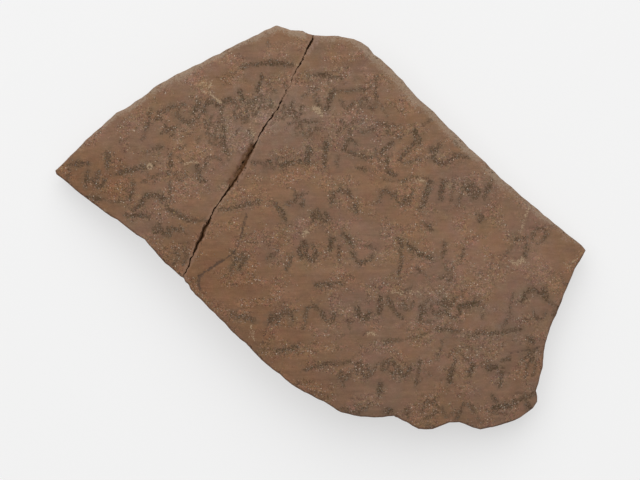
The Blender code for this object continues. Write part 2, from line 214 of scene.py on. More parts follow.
# From the top row down, each from left to right.
WRITING = (
    ink_row(
        (L, -20.4, 41.8, -12.0, 43.0, 1.3, 0.75), (L, -13.0, 43.0, -7.6, 42.4, 1.8, 0.95),
        (L, -13.6, 48.8, -13.9, 46.2, 0.9, 0.4), (T, -15.3, 39.6, -16.3, 34.8, 1.3, 0.75),
        (L, -13.6, 37.4, -11.6, 34.8, 1.1, 0.55), (K, -17.0, 30.8, -12.8, 34.0, 1.2, 0.65),
        (L, -9.2, 37.6, -8.4, 34.2, 0.9, 0.5), (L, -3.8, 39.4, 0.0, 39.7, 1.1, 0.6),
        (L, -0.6, 39.6, 5.4, 39.0, 1.4, 0.85), (D, 0.0, 38.9, 2.2, 39.9, 1.6, 0.95),
        (L, 4.8, 35.4, 13.6, 36.1, 1.0, 0.65), (L, 14.6, 39.3, 14.2, 35.9, 1.2, 0.7),
        (T, 14.6, 34.8, 13.4, 31.6, 1.2, 0.6), (L, 3.2, 35.9, 1.6, 31.0, 1.5, 0.9),
        (S, -0.8, 30.2, 2.0, 33.0, 1.2, 0.75), (S, 5.0, 30.8, 8.4, 33.2, 1.2, 0.65),
        (K, 10.2, 30.6, 14.2, 33.6, 1.1, 0.65), (L, 15.2, 32.6, 17.4, 28.8, 0.9, 0.45),
        (G, -4.6, 33.8, -0.6, 36.2, 1.0, 0.5), (C, 6.0, 36.8, 12.4, 38.4, 0.9, 0.35),
    ),
    ink_row(
        (T, -44.4, 30.4, -46.3, 22.4, 1.2, 0.6), (L, -42.4, 29.9, -39.6, 31.2, 1.2, 0.7),
        (L, -40.6, 30.2, -35.4, 32.2, 1.2, 0.7), (D, -43.0, 27.6, -41.2, 29.0, 1.4, 0.7),
        (G, -41.2, 24.2, -37.2, 26.6, 1.2, 0.75), (S, -37.2, 27.4, -31.4, 30.2, 1.3, 0.75),
        (L, -34.6, 27.0, -32.0, 29.0, 1.1, 0.6), (L, -33.0, 29.8, -31.4, 33.4, 1.6, 0.9),
        (B, -30.4, 30.2, -26.4, 32.8, 1.7, 0.95), (B, -25.8, 30.4, -21.8, 33.4, 1.4, 0.8),
        (T, -25.4, 29.4, -24.2, 18.6, 1.3, 0.75), (L, -21.0, 35.8, -19.9, 32.6, 1.6, 0.85),
        (K, -22.4, 27.4, -18.6, 31.4, 1.2, 0.75), (W, -19.4, 28.8, -13.6, 33.2, 1.2, 0.7),
        (P, -29.6, 23.8, -26.2, 29.2, 1.1, 0.6), (L, -30.2, 28.4, -28.8, 24.2, 1.2, 0.7),
        (K, -28.6, 20.8, -25.6, 24.4, 1.1, 0.6), (L, -18.4, 25.0, -17.2, 22.4, 1.1, 0.55),
        (L, -22.0, 24.4, -20.0, 27.6, 1.0, 0.5), (F, -11.8, 28.6, -7.2, 32.6, 1.2, 0.7),
        (W, -8.6, 28.2, -3.2, 31.6, 1.3, 0.75), (L, -8.2, 27.2, -0.4, 27.6, 1.2, 0.65),
        (K, -6.4, 23.6, -2.6, 26.6, 1.2, 0.65), (D, -1.8, 24.6, -0.2, 26.6, 1.4, 0.7),
        (G, 4.0, 24.8, 9.4, 27.8, 1.1, 0.6), (L, 10.4, 24.6, 14.4, 25.4, 1.1, 0.6),
        (L, 14.6, 27.4, 18.8, 26.2, 1.1, 0.6), (K, 17.6, 23.6, 21.0, 26.8, 1.0, 0.55),
        (D, -42.4, 20.2, -40.6, 21.4, 1.3, 0.65), (L, -37.2, 19.8, -34.8, 21.2, 1.1, 0.6),
        (C, -36.0, 22.0, -31.0, 25.0, 1.1, 0.55),
    ),
    ink_row(
        (L, -65.2, 16.3, -60.6, 16.8, 1.5, 0.9), (T, -65.4, 14.8, -65.9, 12.6, 1.2, 0.7),
        (L, -60.8, 14.6, -61.2, 11.0, 1.4, 0.85), (L, -55.0, 19.6, -55.3, 15.4, 1.7, 0.8),
        (L, -57.4, 14.6, -58.9, 11.8, 1.3, 0.8), (S, -59.2, 10.8, -56.2, 13.0, 1.4, 0.9),
        (L, -53.2, 13.8, -50.2, 14.6, 1.2, 0.75), (L, -50.4, 15.0, -43.4, 16.3, 1.4, 0.85),
        (T, -48.4, 12.0, -49.4, 7.4, 1.3, 0.75), (L, -44.8, 19.6, -41.8, 21.0, 1.2, 0.6),
        (G, -46.2, 11.6, -42.2, 14.0, 1.1, 0.5), (L, -38.9, 19.6, -39.3, 13.6, 1.3, 0.7),
        (T, -39.0, 12.0, -38.8, 7.0, 1.1, 0.6), (S, -38.0, 12.6, -34.6, 14.6, 1.1, 0.55),
        (L, -36.6, 18.4, -35.8, 16.8, 1.2, 0.55), (L, -31.6, 16.0, -31.4, 12.6, 1.5, 0.9),
        (L, -30.9, 12.2, -29.4, 11.8, 1.2, 0.8), (B, -30.2, 15.4, -25.4, 18.4, 1.1, 0.65),
        (L, -24.2, 20.0, -24.0, 17.4, 1.1, 0.6), (L, -17.8, 16.9, -14.6, 16.6, 1.2, 0.7),
        (W, -14.4, 15.2, -9.6, 17.8, 1.2, 0.75), (L, -10.0, 16.2, -5.0, 17.4, 1.5, 0.8),
        (L, -2.7, 20.2, -3.4, 16.6, 1.7, 0.95), (L, 1.5, 21.8, 0.9, 15.6, 1.5, 0.95),
        (B, 5.9, 20.2, 9.4, 22.9, 1.4, 0.85), (L, 4.4, 18.4, 4.0, 16.2, 1.1, 0.6),
        (L, 7.4, 19.3, 12.8, 18.2, 1.3, 0.85), (L, 9.2, 15.6, 12.2, 14.8, 1.2, 0.65),
        (L, 15.8, 20.0, 18.8, 21.9, 1.5, 0.85), (T, 17.3, 18.8, 17.0, 15.6, 1.3, 0.7),
        (L, 16.8, 15.0, 19.4, 13.8, 1.4, 0.8), (L, 14.4, 20.4, 14.2, 17.8, 1.0, 0.4),
        (L, 20.6, 17.6, 24.4, 22.6, 1.2, 0.75), (L, 24.4, 25.2, 25.2, 22.6, 1.8, 0.95),
        (L, 26.6, 26.4, 29.0, 28.0, 1.0, 0.5), (D, 28.2, 18.8, 30.2, 21.4, 2.0, 0.95),
        (L, 30.8, 21.6, 29.4, 19.2, 1.5, 0.8), (S, 29.0, 16.8, 34.0, 18.6, 1.4, 0.85),
        (L, 34.4, 19.0, 38.0, 18.0, 1.4, 0.8), (L, 35.0, 22.6, 37.0, 20.8, 1.2, 0.75),
        (L, 21.4, 16.8, 26.8, 17.8, 1.0, 0.6),
    ),
    ink_row(
        (L, -61.0, 7.8, -55.6, 7.2, 1.0, 0.8), (L, -55.8, 7.2, -50.8, 6.8, 1.1, 0.7),
        (L, -50.4, 3.4, -44.0, 2.7, 1.4, 0.8), (L, -48.4, 4.8, -46.2, 6.2, 1.2, 0.7),
        (B, -46.2, 6.4, -40.6, 8.6, 1.7, 0.95), (T, -39.7, 6.2, -33.8, 1.6, 1.3, 0.8),
        (L, -33.2, 1.6, -29.8, 2.1, 1.1, 0.6), (K, -43.2, -1.8, -38.6, 0.4, 1.4, 0.8),
        (L, -38.2, 0.0, -35.4, -1.0, 1.4, 0.75), (L, -26.6, 4.5, -21.6, 5.4, 1.2, 0.7),
        (L, -21.2, 5.2, -15.4, 7.4, 1.3, 0.75), (L, -11.8, 6.2, -9.0, 2.0, 1.6, 0.85),
        (G, -8.4, 5.8, -3.4, 9.4, 1.3, 0.7), (K, -2.2, 1.6, 1.8, 4.4, 1.4, 0.85),
        (B, 2.4, 6.4, 8.4, 9.8, 1.4, 0.8), (L, 9.0, 6.0, 9.6, 3.4, 1.3, 0.7),
        (B, 14.8, 6.8, 19.0, 9.4, 1.2, 0.75), (S, 19.4, 6.2, 22.0, 9.0, 1.2, 0.75),
        (L, 22.6, 6.8, 24.4, 9.8, 1.2, 0.7), (L, 16.2, 12.6, 21.0, 12.2, 0.8, 0.5),
        (B, 21.4, 11.8, 28.4, 13.2, 0.9, 0.6), (L, 28.4, 12.0, 26.6, 6.4, 1.7, 0.95),
        (L, 26.6, 6.2, 25.6, 4.6, 1.3, 0.7), (L, 32.0, 11.8, 31.0, 7.2, 1.5, 0.85),
        (P, 33.4, 6.4, 37.0, 11.8, 1.1, 0.55), (K, 38.2, 7.8, 41.0, 11.2, 1.3, 0.75),
        (L, 44.2, 12.0, 42.4, 7.4, 1.4, 0.85), (L, 41.6, 3.4, 41.2, 1.4, 1.4, 0.8),
        (L, 26.6, 1.2, 28.8, -0.6, 1.4, 0.7),
    ),
    ink_row(
        (H, -38.0, -9.6, -34.4, -5.4, 1.2, 0.7), (H, -23.2, -10.8, -19.6, -6.4, 1.3, 0.85),
        (D, -22.2, -9.2, -20.2, -7.2, 1.7, 0.7), (L, -18.6, -11.6, -17.2, -12.8, 1.1, 0.5),
        (L, -13.6, -7.6, -11.2, -6.2, 1.4, 0.7), (L, -7.6, -7.4, -9.2, -10.8, 1.4, 0.75),
        (K, -5.6, -8.2, -1.4, -4.0, 1.6, 0.9), (L, 3.0, -2.6, 2.2, -6.0, 1.8, 0.95),
        (L, 5.0, -4.7, 4.6, -8.0, 1.3, 0.7), (L, 6.0, -1.4, 8.6, -5.2, 1.5, 0.85),
        (S, 8.2, -9.0, 13.4, -6.0, 1.4, 0.8), (L, 11.8, -4.6, 14.2, -5.4, 1.2, 0.65),
        (L, 20.2, -3.0, 21.4, -5.2, 1.4, 0.75), (T, 20.9, -6.0, 20.0, -12.4, 1.3, 0.7),
        (L, 22.8, -4.3, 25.4, -6.6, 1.5, 0.95), (L, 25.2, -6.6, 28.8, -7.9, 1.3, 0.9),
        (L, 24.8, -10.4, 27.6, -12.8, 1.2, 0.55), (T, 32.2, -4.6, 31.6, -7.6, 1.3, 0.7),
        (L, 36.7, -5.4, 36.3, -9.0, 1.2, 0.6), (G, 31.4, -13.4, 34.6, -10.4, 1.2, 0.6),
        (L, 46.6, -8.4, 50.0, -4.8, 0.9, 0.35), (L, 50.2, -3.0, 54.0, -2.0, 1.2, 0.7),
        (L, 53.2, -4.2, 53.3, -7.6, 1.3, 0.75), (B, 54.8, -2.6, 58.8, -0.4, 1.2, 0.6),
        (L, 58.9, -1.8, 56.6, -4.0, 1.3, 0.65), (L, -1.2, -14.6, 5.4, -14.2, 1.4, 0.75),
        (L, 63.0, -14.0, 64.6, -15.4, 0.9, 0.4), (L, 40.4, -12.2, 44.2, -10.6, 0.9, 0.3),
    ),
    ink_row(
        (L, -22.8, -22.4, -17.0, -23.8, 1.5, 0.85), (D, -13.4, -24.8, -11.2, -22.4, 2.2, 1.0),
        (B, -11.0, -24.6, -6.8, -21.8, 1.4, 0.85), (L, -9.0, -20.8, -6.0, -21.2, 1.2, 0.6),
        (B, -4.0, -22.6, -0.6, -20.2, 1.4, 0.75), (L, -3.6, -22.8, -4.4, -26.0, 1.1, 0.55),
        (S, 0.4, -24.0, 3.8, -21.6, 1.5, 0.8), (L, 6.9, -24.0, 7.4, -26.4, 1.1, 0.6),
        (S, 9.8, -23.6, 12.8, -20.8, 1.5, 0.85), (L, 15.5, -18.4, 15.0, -22.2, 1.7, 0.95),
        (L, 17.4, -18.4, 18.6, -20.8, 1.7, 0.85), (L, 18.8, -20.8, 21.2, -23.6, 1.2, 0.7),
        (L, 20.4, -17.2, 23.4, -15.6, 1.1, 0.5), (W, 20.6, -21.2, 25.6, -19.0, 1.2, 0.65),
        (L, 25.8, -20.4, 25.9, -24.0, 1.4, 0.8), (L, 26.4, -24.7, 29.4, -24.3, 1.0, 0.55),
        (K, 26.8, -22.4, 31.0, -18.6, 1.2, 0.7), (W, 31.2, -20.6, 36.0, -18.2, 1.4, 0.8),
        (S, 32.4, -23.4, 36.4, -20.8, 1.3, 0.75), (L, 36.0, -20.6, 40.8, -19.3, 1.8, 0.95),
        (D, 38.6, -19.8, 40.6, -18.6, 1.6, 0.9), (L, 36.6, -16.0, 36.9, -18.2, 1.0, 0.5),
        (L, 41.8, -19.8, 42.0, -23.6, 1.1, 0.55), (L, 49.9, -17.4, 49.2, -21.6, 1.0, 0.6),
        (T, 49.1, -21.8, 47.0, -25.8, 1.1, 0.6), (B, 52.4, -19.4, 57.8, -16.2, 1.3, 0.75),
        (L, 58.2, -16.0, 58.8, -18.8, 1.7, 0.85), (L, 59.2, -19.2, 61.6, -20.4, 1.2, 0.6),
        (S, 55.2, -23.8, 58.8, -21.4, 1.2, 0.65), (L, 61.8, -20.8, 60.6, -22.8, 1.0, 0.5),
        (L, 16.8, -29.7, 21.0, -28.8, 1.1, 0.6), (L, 20.8, -28.9, 28.6, -27.2, 0.9, 0.5),
        (L, 30.2, -26.3, 35.8, -26.6, 1.3, 0.75), (L, 39.8, -28.1, 46.4, -27.0, 1.1, 0.65),
        (L, 46.2, -27.0, 52.2, -26.4, 1.2, 0.8), (T, 31.4, -29.2, 30.4, -33.6, 1.2, 0.6),
        (L, -11.2, -31.9, -5.8, -30.5, 1.4, 0.85), (C, -2.0, -28.6, 6.0, -26.4, 1.0, 0.35),
    ),
    ink_row(
        (L, -4.2, -36.8, 1.2, -35.2, 1.1, 0.7), (L, 1.0, -35.4, 7.6, -34.6, 1.2, 0.75),
        (L, 7.2, -34.6, 9.4, -35.8, 1.1, 0.6), (L, 5.4, -37.4, 5.8, -40.8, 1.3, 0.7),
        (L, 6.8, -38.8, 8.2, -36.8, 1.3, 0.8), (K, 9.2, -38.4, 12.8, -35.0, 1.3, 0.75),
        (L, 13.2, -38.4, 15.2, -34.6, 1.1, 0.6), (L, 15.4, -40.3, 15.2, -42.8, 1.6, 0.95),
        (K, 16.4, -37.8, 19.4, -34.4, 1.3, 0.7), (S, 19.8, -38.4, 23.2, -35.6, 1.4, 0.75),
        (L, 25.7, -34.4, 25.0, -40.6, 1.2, 0.65), (L, 34.9, -34.2, 34.3, -36.6, 1.2, 0.7),
        (L, 34.0, -36.8, 33.7, -40.2, 1.6, 0.9), (L, 36.2, -32.8, 39.0, -34.8, 1.1, 0.6),
        (L, 39.8, -35.2, 38.8, -38.4, 1.5, 0.85), (D, 43.2, -36.8, 46.0, -35.4, 1.9, 0.9),
        (L, 41.8, -35.4, 43.6, -34.2, 1.0, 0.5), (L, 47.0, -34.8, 49.0, -33.8, 1.2, 0.65),
        (T, 47.2, -36.8, 46.6, -41.4, 1.2, 0.7), (B, 33.0, -33.0, 40.0, -31.0, 0.9, 0.4),
        (L, 54.2, -28.6, 55.6, -30.2, 1.4, 0.75), (G, 52.6, -34.4, 56.2, -31.4, 1.3, 0.75),
        (P, 53.2, -39.0, 56.2, -34.8, 1.1, 0.6), (C, 26.0, -40.4, 31.6, -37.6, 1.0, 0.35),
    ),
    ink_row(
        (L, 5.8, -46.9, 9.8, -48.0, 1.2, 0.7), (W, 9.2, -47.6, 13.6, -45.8, 1.2, 0.6),
        (D, 16.6, -47.9, 18.8, -46.8, 1.6, 0.8), (L, 22.6, -46.8, 23.2, -49.0, 1.5, 0.8),
        (B, 26.2, -48.0, 30.4, -45.0, 1.2, 0.7), (L, 27.0, -49.4, 31.4, -47.5, 1.1, 0.6),
        (S, 31.2, -49.0, 35.2, -46.4, 1.2, 0.65), (B, 35.6, -49.4, 40.4, -45.8, 1.3, 0.7),
        (L, 40.8, -49.4, 42.6, -51.0, 1.0, 0.45), (L, 44.8, -43.8, 45.8, -45.4, 1.4, 0.8),
        (L, 45.4, -46.6, 50.8, -45.6, 1.6, 0.9), (L, 50.2, -45.4, 56.6, -42.9, 1.5, 0.85),
        (L, 43.8, -47.6, 48.4, -48.6, 1.1, 0.6), (L, 54.2, -45.8, 55.5, -48.0, 1.6, 0.85),
        (L, 27.6, -51.2, 29.2, -51.8, 1.4, 0.6),
    ),
)

SCARS = (
    Scar(Layer.SCUFF, ((-44.9, 16.0), (-44.5, 16.5), (-43.8, 16.3), (-43.7, 15.6)), 0.45, -0.05),
    Scar(Layer.SCUFF, ((-43.7, 15.6), (-44.2, 15.3), (-44.8, 15.5), (-44.9, 16.0)), 0.45, -0.05),
    Scar(Layer.SCUFF, ((-28.6, 34.9), (-27.2, 33.6), (-25.9, 32.5)), 0.55, 0.06, 1.0),
    Scar(Layer.SCUFF, ((-31.0, 38.4), (-30.5, 37.5)), 0.4, -0.03, 0.8),
    Scar(Layer.SCUFF, ((-31.1, 37.0), (-30.3, 37.4), (-29.5, 37.6)), 0.42, -0.03, 0.8),
    Scar(Layer.SCUFF, ((-28.2, 38.1), (-28.5, 37.0), (-29.1, 35.9)), 0.42, -0.03, 0.85),
    Scar(Layer.SCUFF, ((-30.6, 35.7), (-29.8, 34.9), (-29.4, 35.1)), 0.42, -0.03, 0.8),
    Scar(Layer.SCUFF, ((-6.6, 42.4), (-5.2, 41.9)), 0.4, 0.03, 0.7),
    Scar(Layer.SCUFF, ((-35.4, 16.6), (-33.4, 17.1), (-31.6, 17.0)), 0.5, 0.04, 0.75),
    Scar(Layer.SCUFF, ((-1.4, 30.8), (-0.4, 30.2), (0.5, 29.8)), 1.5, 0.12, 0.75, 0.7),
    Scar(Layer.SCUFF, ((54.2, 5.2), (53.0, 2.3), (51.9, -1.0)), 0.6, 0.04, 0.62, 0.05),
    Scar(Layer.SCUFF, ((66.3, -8.1), (65.6, -9.2), (64.9, -10.4)), 0.5, 0.05, 0.6, 0.05),
    Scar(Layer.SCUFF, ((50.4, -9.2), (51.6, -8.7), (52.8, -8.4)), 1.5, 0.08, 0.62, 0.7),
    Scar(Layer.FLAKE, ((50.0, -8.9), (51.8, -8.7), (53.4, -9.3)), 2.0, 0.12, 0.35, 0.8),
    Scar(Layer.SCUFF, ((12.5, -27.4), (13.3, -27.2), (14.1, -27.6)), 1.0, 0.1, 0.7, 0.4),
    Scar(Layer.SCUFF, ((-18.0, -25.4), (-17.6, -27.0), (-17.4, -28.4)), 1.2, 0.04, 0.4, 0.9),
    Scar(Layer.SCUFF, ((24.6, 12.2), (26.0, 12.4), (26.9, 12.2)), 0.7, 0.05, 0.6, 0.4),
    Scar(Layer.SCUFF, ((18.6, -16.4), (22.0, -16.8), (25.4, -16.4)), 0.9, 0.03, 0.5, 0.6),
    Scar(Layer.SCUFF, ((-4.2, -1.6), (-3.6, -0.9)), 1.4, 0.08, 0.6, 0.5),
    Scar(Layer.SCUFF, ((-18.0, 26.4), (-17.4, 25.0), (-17.6, 23.6)), 1.2, 0.03, 0.4, 0.8),
    Scar(Layer.FLAKE, ((-1.0, 49.8), (-0.8, 48.9), (-1.2, 47.9)), 1.7, 0.2, 0.7, 0.6),
    Scar(Layer.FLAKE, ((-1.5, 48.2), (-2.4, 46.4), (-3.4, 44.4)), 0.8, 0.12, 0.65, 0.4),
    Scar(Layer.FLAKE, ((-12.6, 28.2), (-14.4, 25.6), (-16.6, 22.4)), 0.7, 0.08, 0.7, 0.4),
    Scar(Layer.FLAKE, ((-4.6, 43.4), (-5.6, 41.2)), 0.6, 0.06, 0.5, 0.3),
    Scar(Layer.FLAKE, ((63.2, -2.6), (64.4, -3.4)), 1.2, 0.06, 0.5, 0.4),
    Scar(Layer.BROKEN, ((-17.9, 21.1), (-19.0, 19.2), (-20.6, 16.4)), 1.5, 0.7, 0.9, 0.3),
    Scar(Layer.BROKEN, ((-20.6, 16.4), (-22.2, 14.0), (-23.8, 11.6)), 1.2, 0.6, 0.9, 0.35),
    Scar(Layer.BROKEN, ((-29.2, 1.4), (-30.4, -1.2), (-31.4, -3.2)), 0.9, 0.35, 0.8, 0.3),
    # These scars paint shade, with some dirt, on the sloping lip of the left fragment and down the
    # top of the crack.
    Scar(Layer.DIRT, ((-17.8, 21.1), (-18.8, 19.2), (-20.4, 16.4)), 1.5, 0.0, 0.6, 0.4),
    Scar(Layer.DIRT, ((-20.4, 16.4), (-22.0, 14.0), (-23.6, 11.6)), 1.2, 0.0, 0.6, 0.4),
    Scar(Layer.DIRT, ((-17.5, 21.1), (-18.5, 19.2), (-20.0, 16.4)), 0.9, 0.0, 1.0, 0.25),
    Scar(Layer.DIRT, ((-20.0, 16.4), (-21.6, 14.0), (-23.2, 11.6)), 0.7, 0.0, 1.0, 0.25),
    Scar(Layer.DIRT, ((-28.8, 1.8), (-30.2, -0.8), (-31.2, -3.4)), 0.9, 0.0, 0.8, 0.3),
    Scar(Layer.DIRT, ((-2.2, 49.2), (-3.9, 45.2), (-5.8, 42.0)), 0.5, 0.0, 0.6, 0.2),
    Scar(Layer.STAIN, ((11.0, -27.8), (11.6, -27.2), (12.4, -26.9)), 0.5, 0.1, 0.8),
    Scar(Layer.STAIN, ((49.6, -32.6), (52.9, -32.0), (55.6, -31.4), (58.4, -30.7)), 0.4, 0.15, 0.8),
    Scar(Layer.STAIN, ((-13.1, -23.9), (-14.2, -26.8), (-15.0, -29.6)), 0.7, 0.06, 0.6),
    Scar(Layer.STAIN, ((51.1, -43.4), (53.8, -43.2), (56.6, -42.6)), 0.8, 0.12, 0.4),
    Scar(Layer.STAIN, ((-12.2, 17.4), (-8.4, 17.9), (-4.6, 18.6)), 0.35, 0.08, 0.5),
    Scar(Layer.STAIN, ((-19.3, 3.3), (-19.8, 0.8), (-20.5, -2.2)), 1.0, 0.04, 0.66, 0.3),
    Scar(Layer.STAIN, ((-20.6, -2.6), (-22.0, -5.9), (-24.6, -8.0)), 0.6, 0.06, 0.64, 0.25),
    Scar(Layer.STAIN, ((-25.0, -8.3), (-27.4, -9.7), (-31.6, -12.6)), 0.8, 0.08, 0.8, 0.4),
    Scar(Layer.STAIN, ((-31.4, -12.4), (-31.6, -14.0), (-31.1, -16.2)), 0.9, 0.08, 0.74, 0.4),
)

# Along the join, from its foot to its top: Y in millimetres and the width of the open crack.
JOIN_WIDTHS = (
    (-12.5, 0.10), (-11.2, 0.40), (-9.9, 0.80), (-8.6, 0.85), (-7.3, 0.95), (-6.0, 0.70),
    (-4.7, 0.65), (-3.4, 1.20), (-2.1, 0.95), (-0.8, 0.72), (0.5, 0.80), (1.8, 0.46),
    (3.1, 0.50), (4.4, 0.26), (5.7, 0.42), (7.0, 0.42), (8.3, 0.40), (9.6, 0.62),
    (10.9, 0.80), (13.0, 0.42), (17.0, 0.42), (20.5, 0.38), (22.6, 0.28), (24.0, 0.50),
    (25.2, 0.50), (26.5, 0.36), (27.8, 0.42), (29.1, 0.28), (30.4, 0.14), (31.7, 0.70),
    (33.0, 0.26), (34.3, 0.12), (35.6, 0.18), (36.9, 0.04), (38.2, 0.30), (39.5, 0.08),
    (40.8, 0.22), (42.1, 0.42), (43.4, 0.12), (44.7, 0.18), (46.0, 0.24), (47.3, 0.95),
    (48.6, 0.50), (49.3, 0.12), (49.9, 0.02),
)
# The same way: Y in millimetres and how far the break bows towards the right.
JOIN_BOWS = (
    (-12.0, 0.00), (-9.9, 0.40), (-8.0, 0.20), (-6.2, 0.10), (-4.4, 0.00), (-3.1, 0.35),
    (-1.5, 0.20), (1.6, 0.15), (3.6, 0.00), (5.0, -0.15), (6.4, 0.35), (7.8, 0.45),
    (10.9, 0.65), (13.3, 0.60), (16.4, 0.30), (18.2, 0.20), (20.0, 0.30), (21.3, 0.25),
    (23.4, 0.45), (27.0, 0.30), (28.6, 0.60), (30.4, 0.35), (31.5, 0.15), (33.4, 0.15),
    (36.0, 0.00), (36.9, 0.60), (38.2, 0.20), (39.6, 0.35), (41.2, 0.30), (42.4, 0.70),
    (44.5, 0.75), (46.5, 0.60), (48.9, 0.70), (50.4, 0.30),
)
# X in millimetres along the upper edges and how far the pale rim reaches in from there: wear, with a
# painted highlight where the edge faces up the face towards the lamp.
RIM_REACH = (
    (-66.0, 0.6), (-56.0, 0.7), (-48.0, 1.2), (-38.0, 1.4), (-28.0, 0.9), (-16.0, 0.8),
    (-6.0, 1.2), (6.0, 1.3), (14.0, 1.9), (21.0, 2.1), (29.0, 1.4), (44.0, 1.3),
    (54.0, 1.1), (66.0, 0.8),
)


@dataclass(frozen=True)
class Patch:
    """A wide soft patch of the skin that differs in colour."""

    centre: Point
    reach: Point
    strength: float

    def veil(self, places: np.ndarray) -> np.ndarray:
        """How much of the patch lies on each place."""
        away = (places[:, :2] - np.array(self.centre)) / np.array(self.reach)
        return self.strength * np.exp(-(away**2).sum(axis=1))


DUSTY = (
    Patch((-17.0, 28.0), (20.0, 9.0), 0.7),
    Patch((8.0, 38.0), (22.0, 13.0), 0.4),
    Patch((-30.0, 38.0), (20.0, 12.0), 0.15),
    Patch((-42.0, 18.0), (15.0, 8.0), 0.3),
    Patch((40.0, -24.0), (24.0, 15.0), 0.5),
    Patch((30.0, 16.0), (14.0, 12.0), 0.3),
)
# Patches where the skin is darker and warmer, or lighter where the strength is below 0: darker at
# the lower left and lighter at the right.
TONE_DRIFTS = (
    Patch((-19.0, 39.0), (14.0, 8.0), 0.35),
    Patch((8.0, 38.0), (16.0, 10.0), 0.25),
    Patch((-60.0, 13.0), (15.0, 10.0), 1.0),
    Patch((-30.0, -11.0), (17.0, 12.0), 1.0),
    Patch((-14.0, -27.0), (13.0, 10.0), 0.7),
    Patch((-4.0, -42.0), (18.0, 8.0), 0.5),
    Patch((57.0, -8.0), (18.0, 13.0), -0.8),
    Patch((30.0, -4.0), (18.0, 14.0), -0.35),
)


@dataclass(frozen=True)
class Ripple:
    """Natural unevenness: how deep, how long one swell is along X, Y and Z, and its seed."""

    depth: float
    size: float | Place
    seed: float
    octaves: int = 2

    def on(self, places: np.ndarray) -> np.ndarray:
        """The depth at each place, from about -depth to depth."""
        return self.depth * swell(places, self.size, self.seed, self.octaves)


# Along the lines of the writing, which the wheel marks follow.
WHEEL_MARKS = (Ripple(0.07, (60.0, 6.5, 60.0), 31.0), Ripple(0.035, (22.0, 1.7, 22.0), 37.0))
DENTS = (Ripple(0.06, (9.0, 8.0, 9.0), 41.0), Ripple(0.035, (1.5, 1.2, 1.5), 43.0, 3))
# How far the borders of wear wander, the width of the crack varies and its walls sway.
RAGGED = (Ripple(0.7, 2.2, 21.0, 3), Ripple(0.7, 5.7, 25.0))
CRACK_VARIES = Ripple(0.6, (0.9, 0.9, 6.0), 61.0)
CRACK_SWAYS = Ripple(0.32, (1.0, 1.0, 9.0), 63.0)
# How the reach of the pale rim, its gaps and the bluntness of the arris vary.
RIM_VARIES = Ripple(0.35, 7.0, 23.0)
RIM_GAPS = Ripple(1.0, 3.1, 29.0, 3)
BLUNT_VARIES = Ripple(0.5, 8.0, 67.0, 3)
# The throwing rills inside the pot sway and are grainy.
RILL_SWAYS = Ripple(1.6, (45.0, 30.0, 45.0), 51.0)
RILL_GRAIN = Ripple(0.12, (5.0, 2.4, 5.0), 53.0)


@dataclass(frozen=True)
class Join:
    """How the two walls of the join meet.

    Distances are in millimetres. Where a change runs from one value to another, both are given.

    Attributes:
        facing: How squarely clay has to look across the join to be a wall of it.
        facing_wall: How much of that its dirt needs.
        leaning: Y of the middle of the stretch where the break leans far over.
        leaning_ends: Distances from there where that stretch ends.
        widest: The widest gap that is closed.
        widest_less: How much less that is on the leading side where the break leans.
        widest_fade: How far short of the widest gap the closing starts to fade.
        depth: Distances from the arris where the closing ends.
        mouth: Distance from the arris down to which the crack keeps its width.
        throat: Distance over which it then narrows, without what its width adds.
        throat_more: How much each millimetre of its width adds to that.
        shut: Its width below the throat.
        lip_more: How much more than its half of the gap each lip closes.
        lip_depth: Distances from the arris where that ends.
        lean_lead: Share of a wide gap that the other side closes where the break leans.
        lean_gap: Gaps where that sets in.
        lone_gap: Gaps where one side starts to close all of it.
        level: Distances from the arris where the walls start to move along Z too.
        sway: Distances from the join where the clay stops following its bows.
    """

    facing: Point = (0.25, 0.6)
    facing_wall: Point = (0.0, 0.5)
    leaning: float = 15.5
    leaning_ends: Point = (4.6, 6.2)
    widest: float = 2.9
    widest_less: float = 0.9
    widest_fade: float = 0.4
    depth: Point = (1.5, 3.5)
    mouth: float = 0.25
    throat: float = 0.5
    throat_more: float = 1.3
    shut: float = 0.02
    lip_more: float = 0.28
    lip_depth: Point = (0.0, 0.6)
    lean_lead: float = 0.45
    lean_gap: Point = (1.1, 1.8)
    lone_gap: Point = (0.95, 1.3)
    level: Point = (0.3, 0.9)
    sway: Point = (2.0, 8.0)


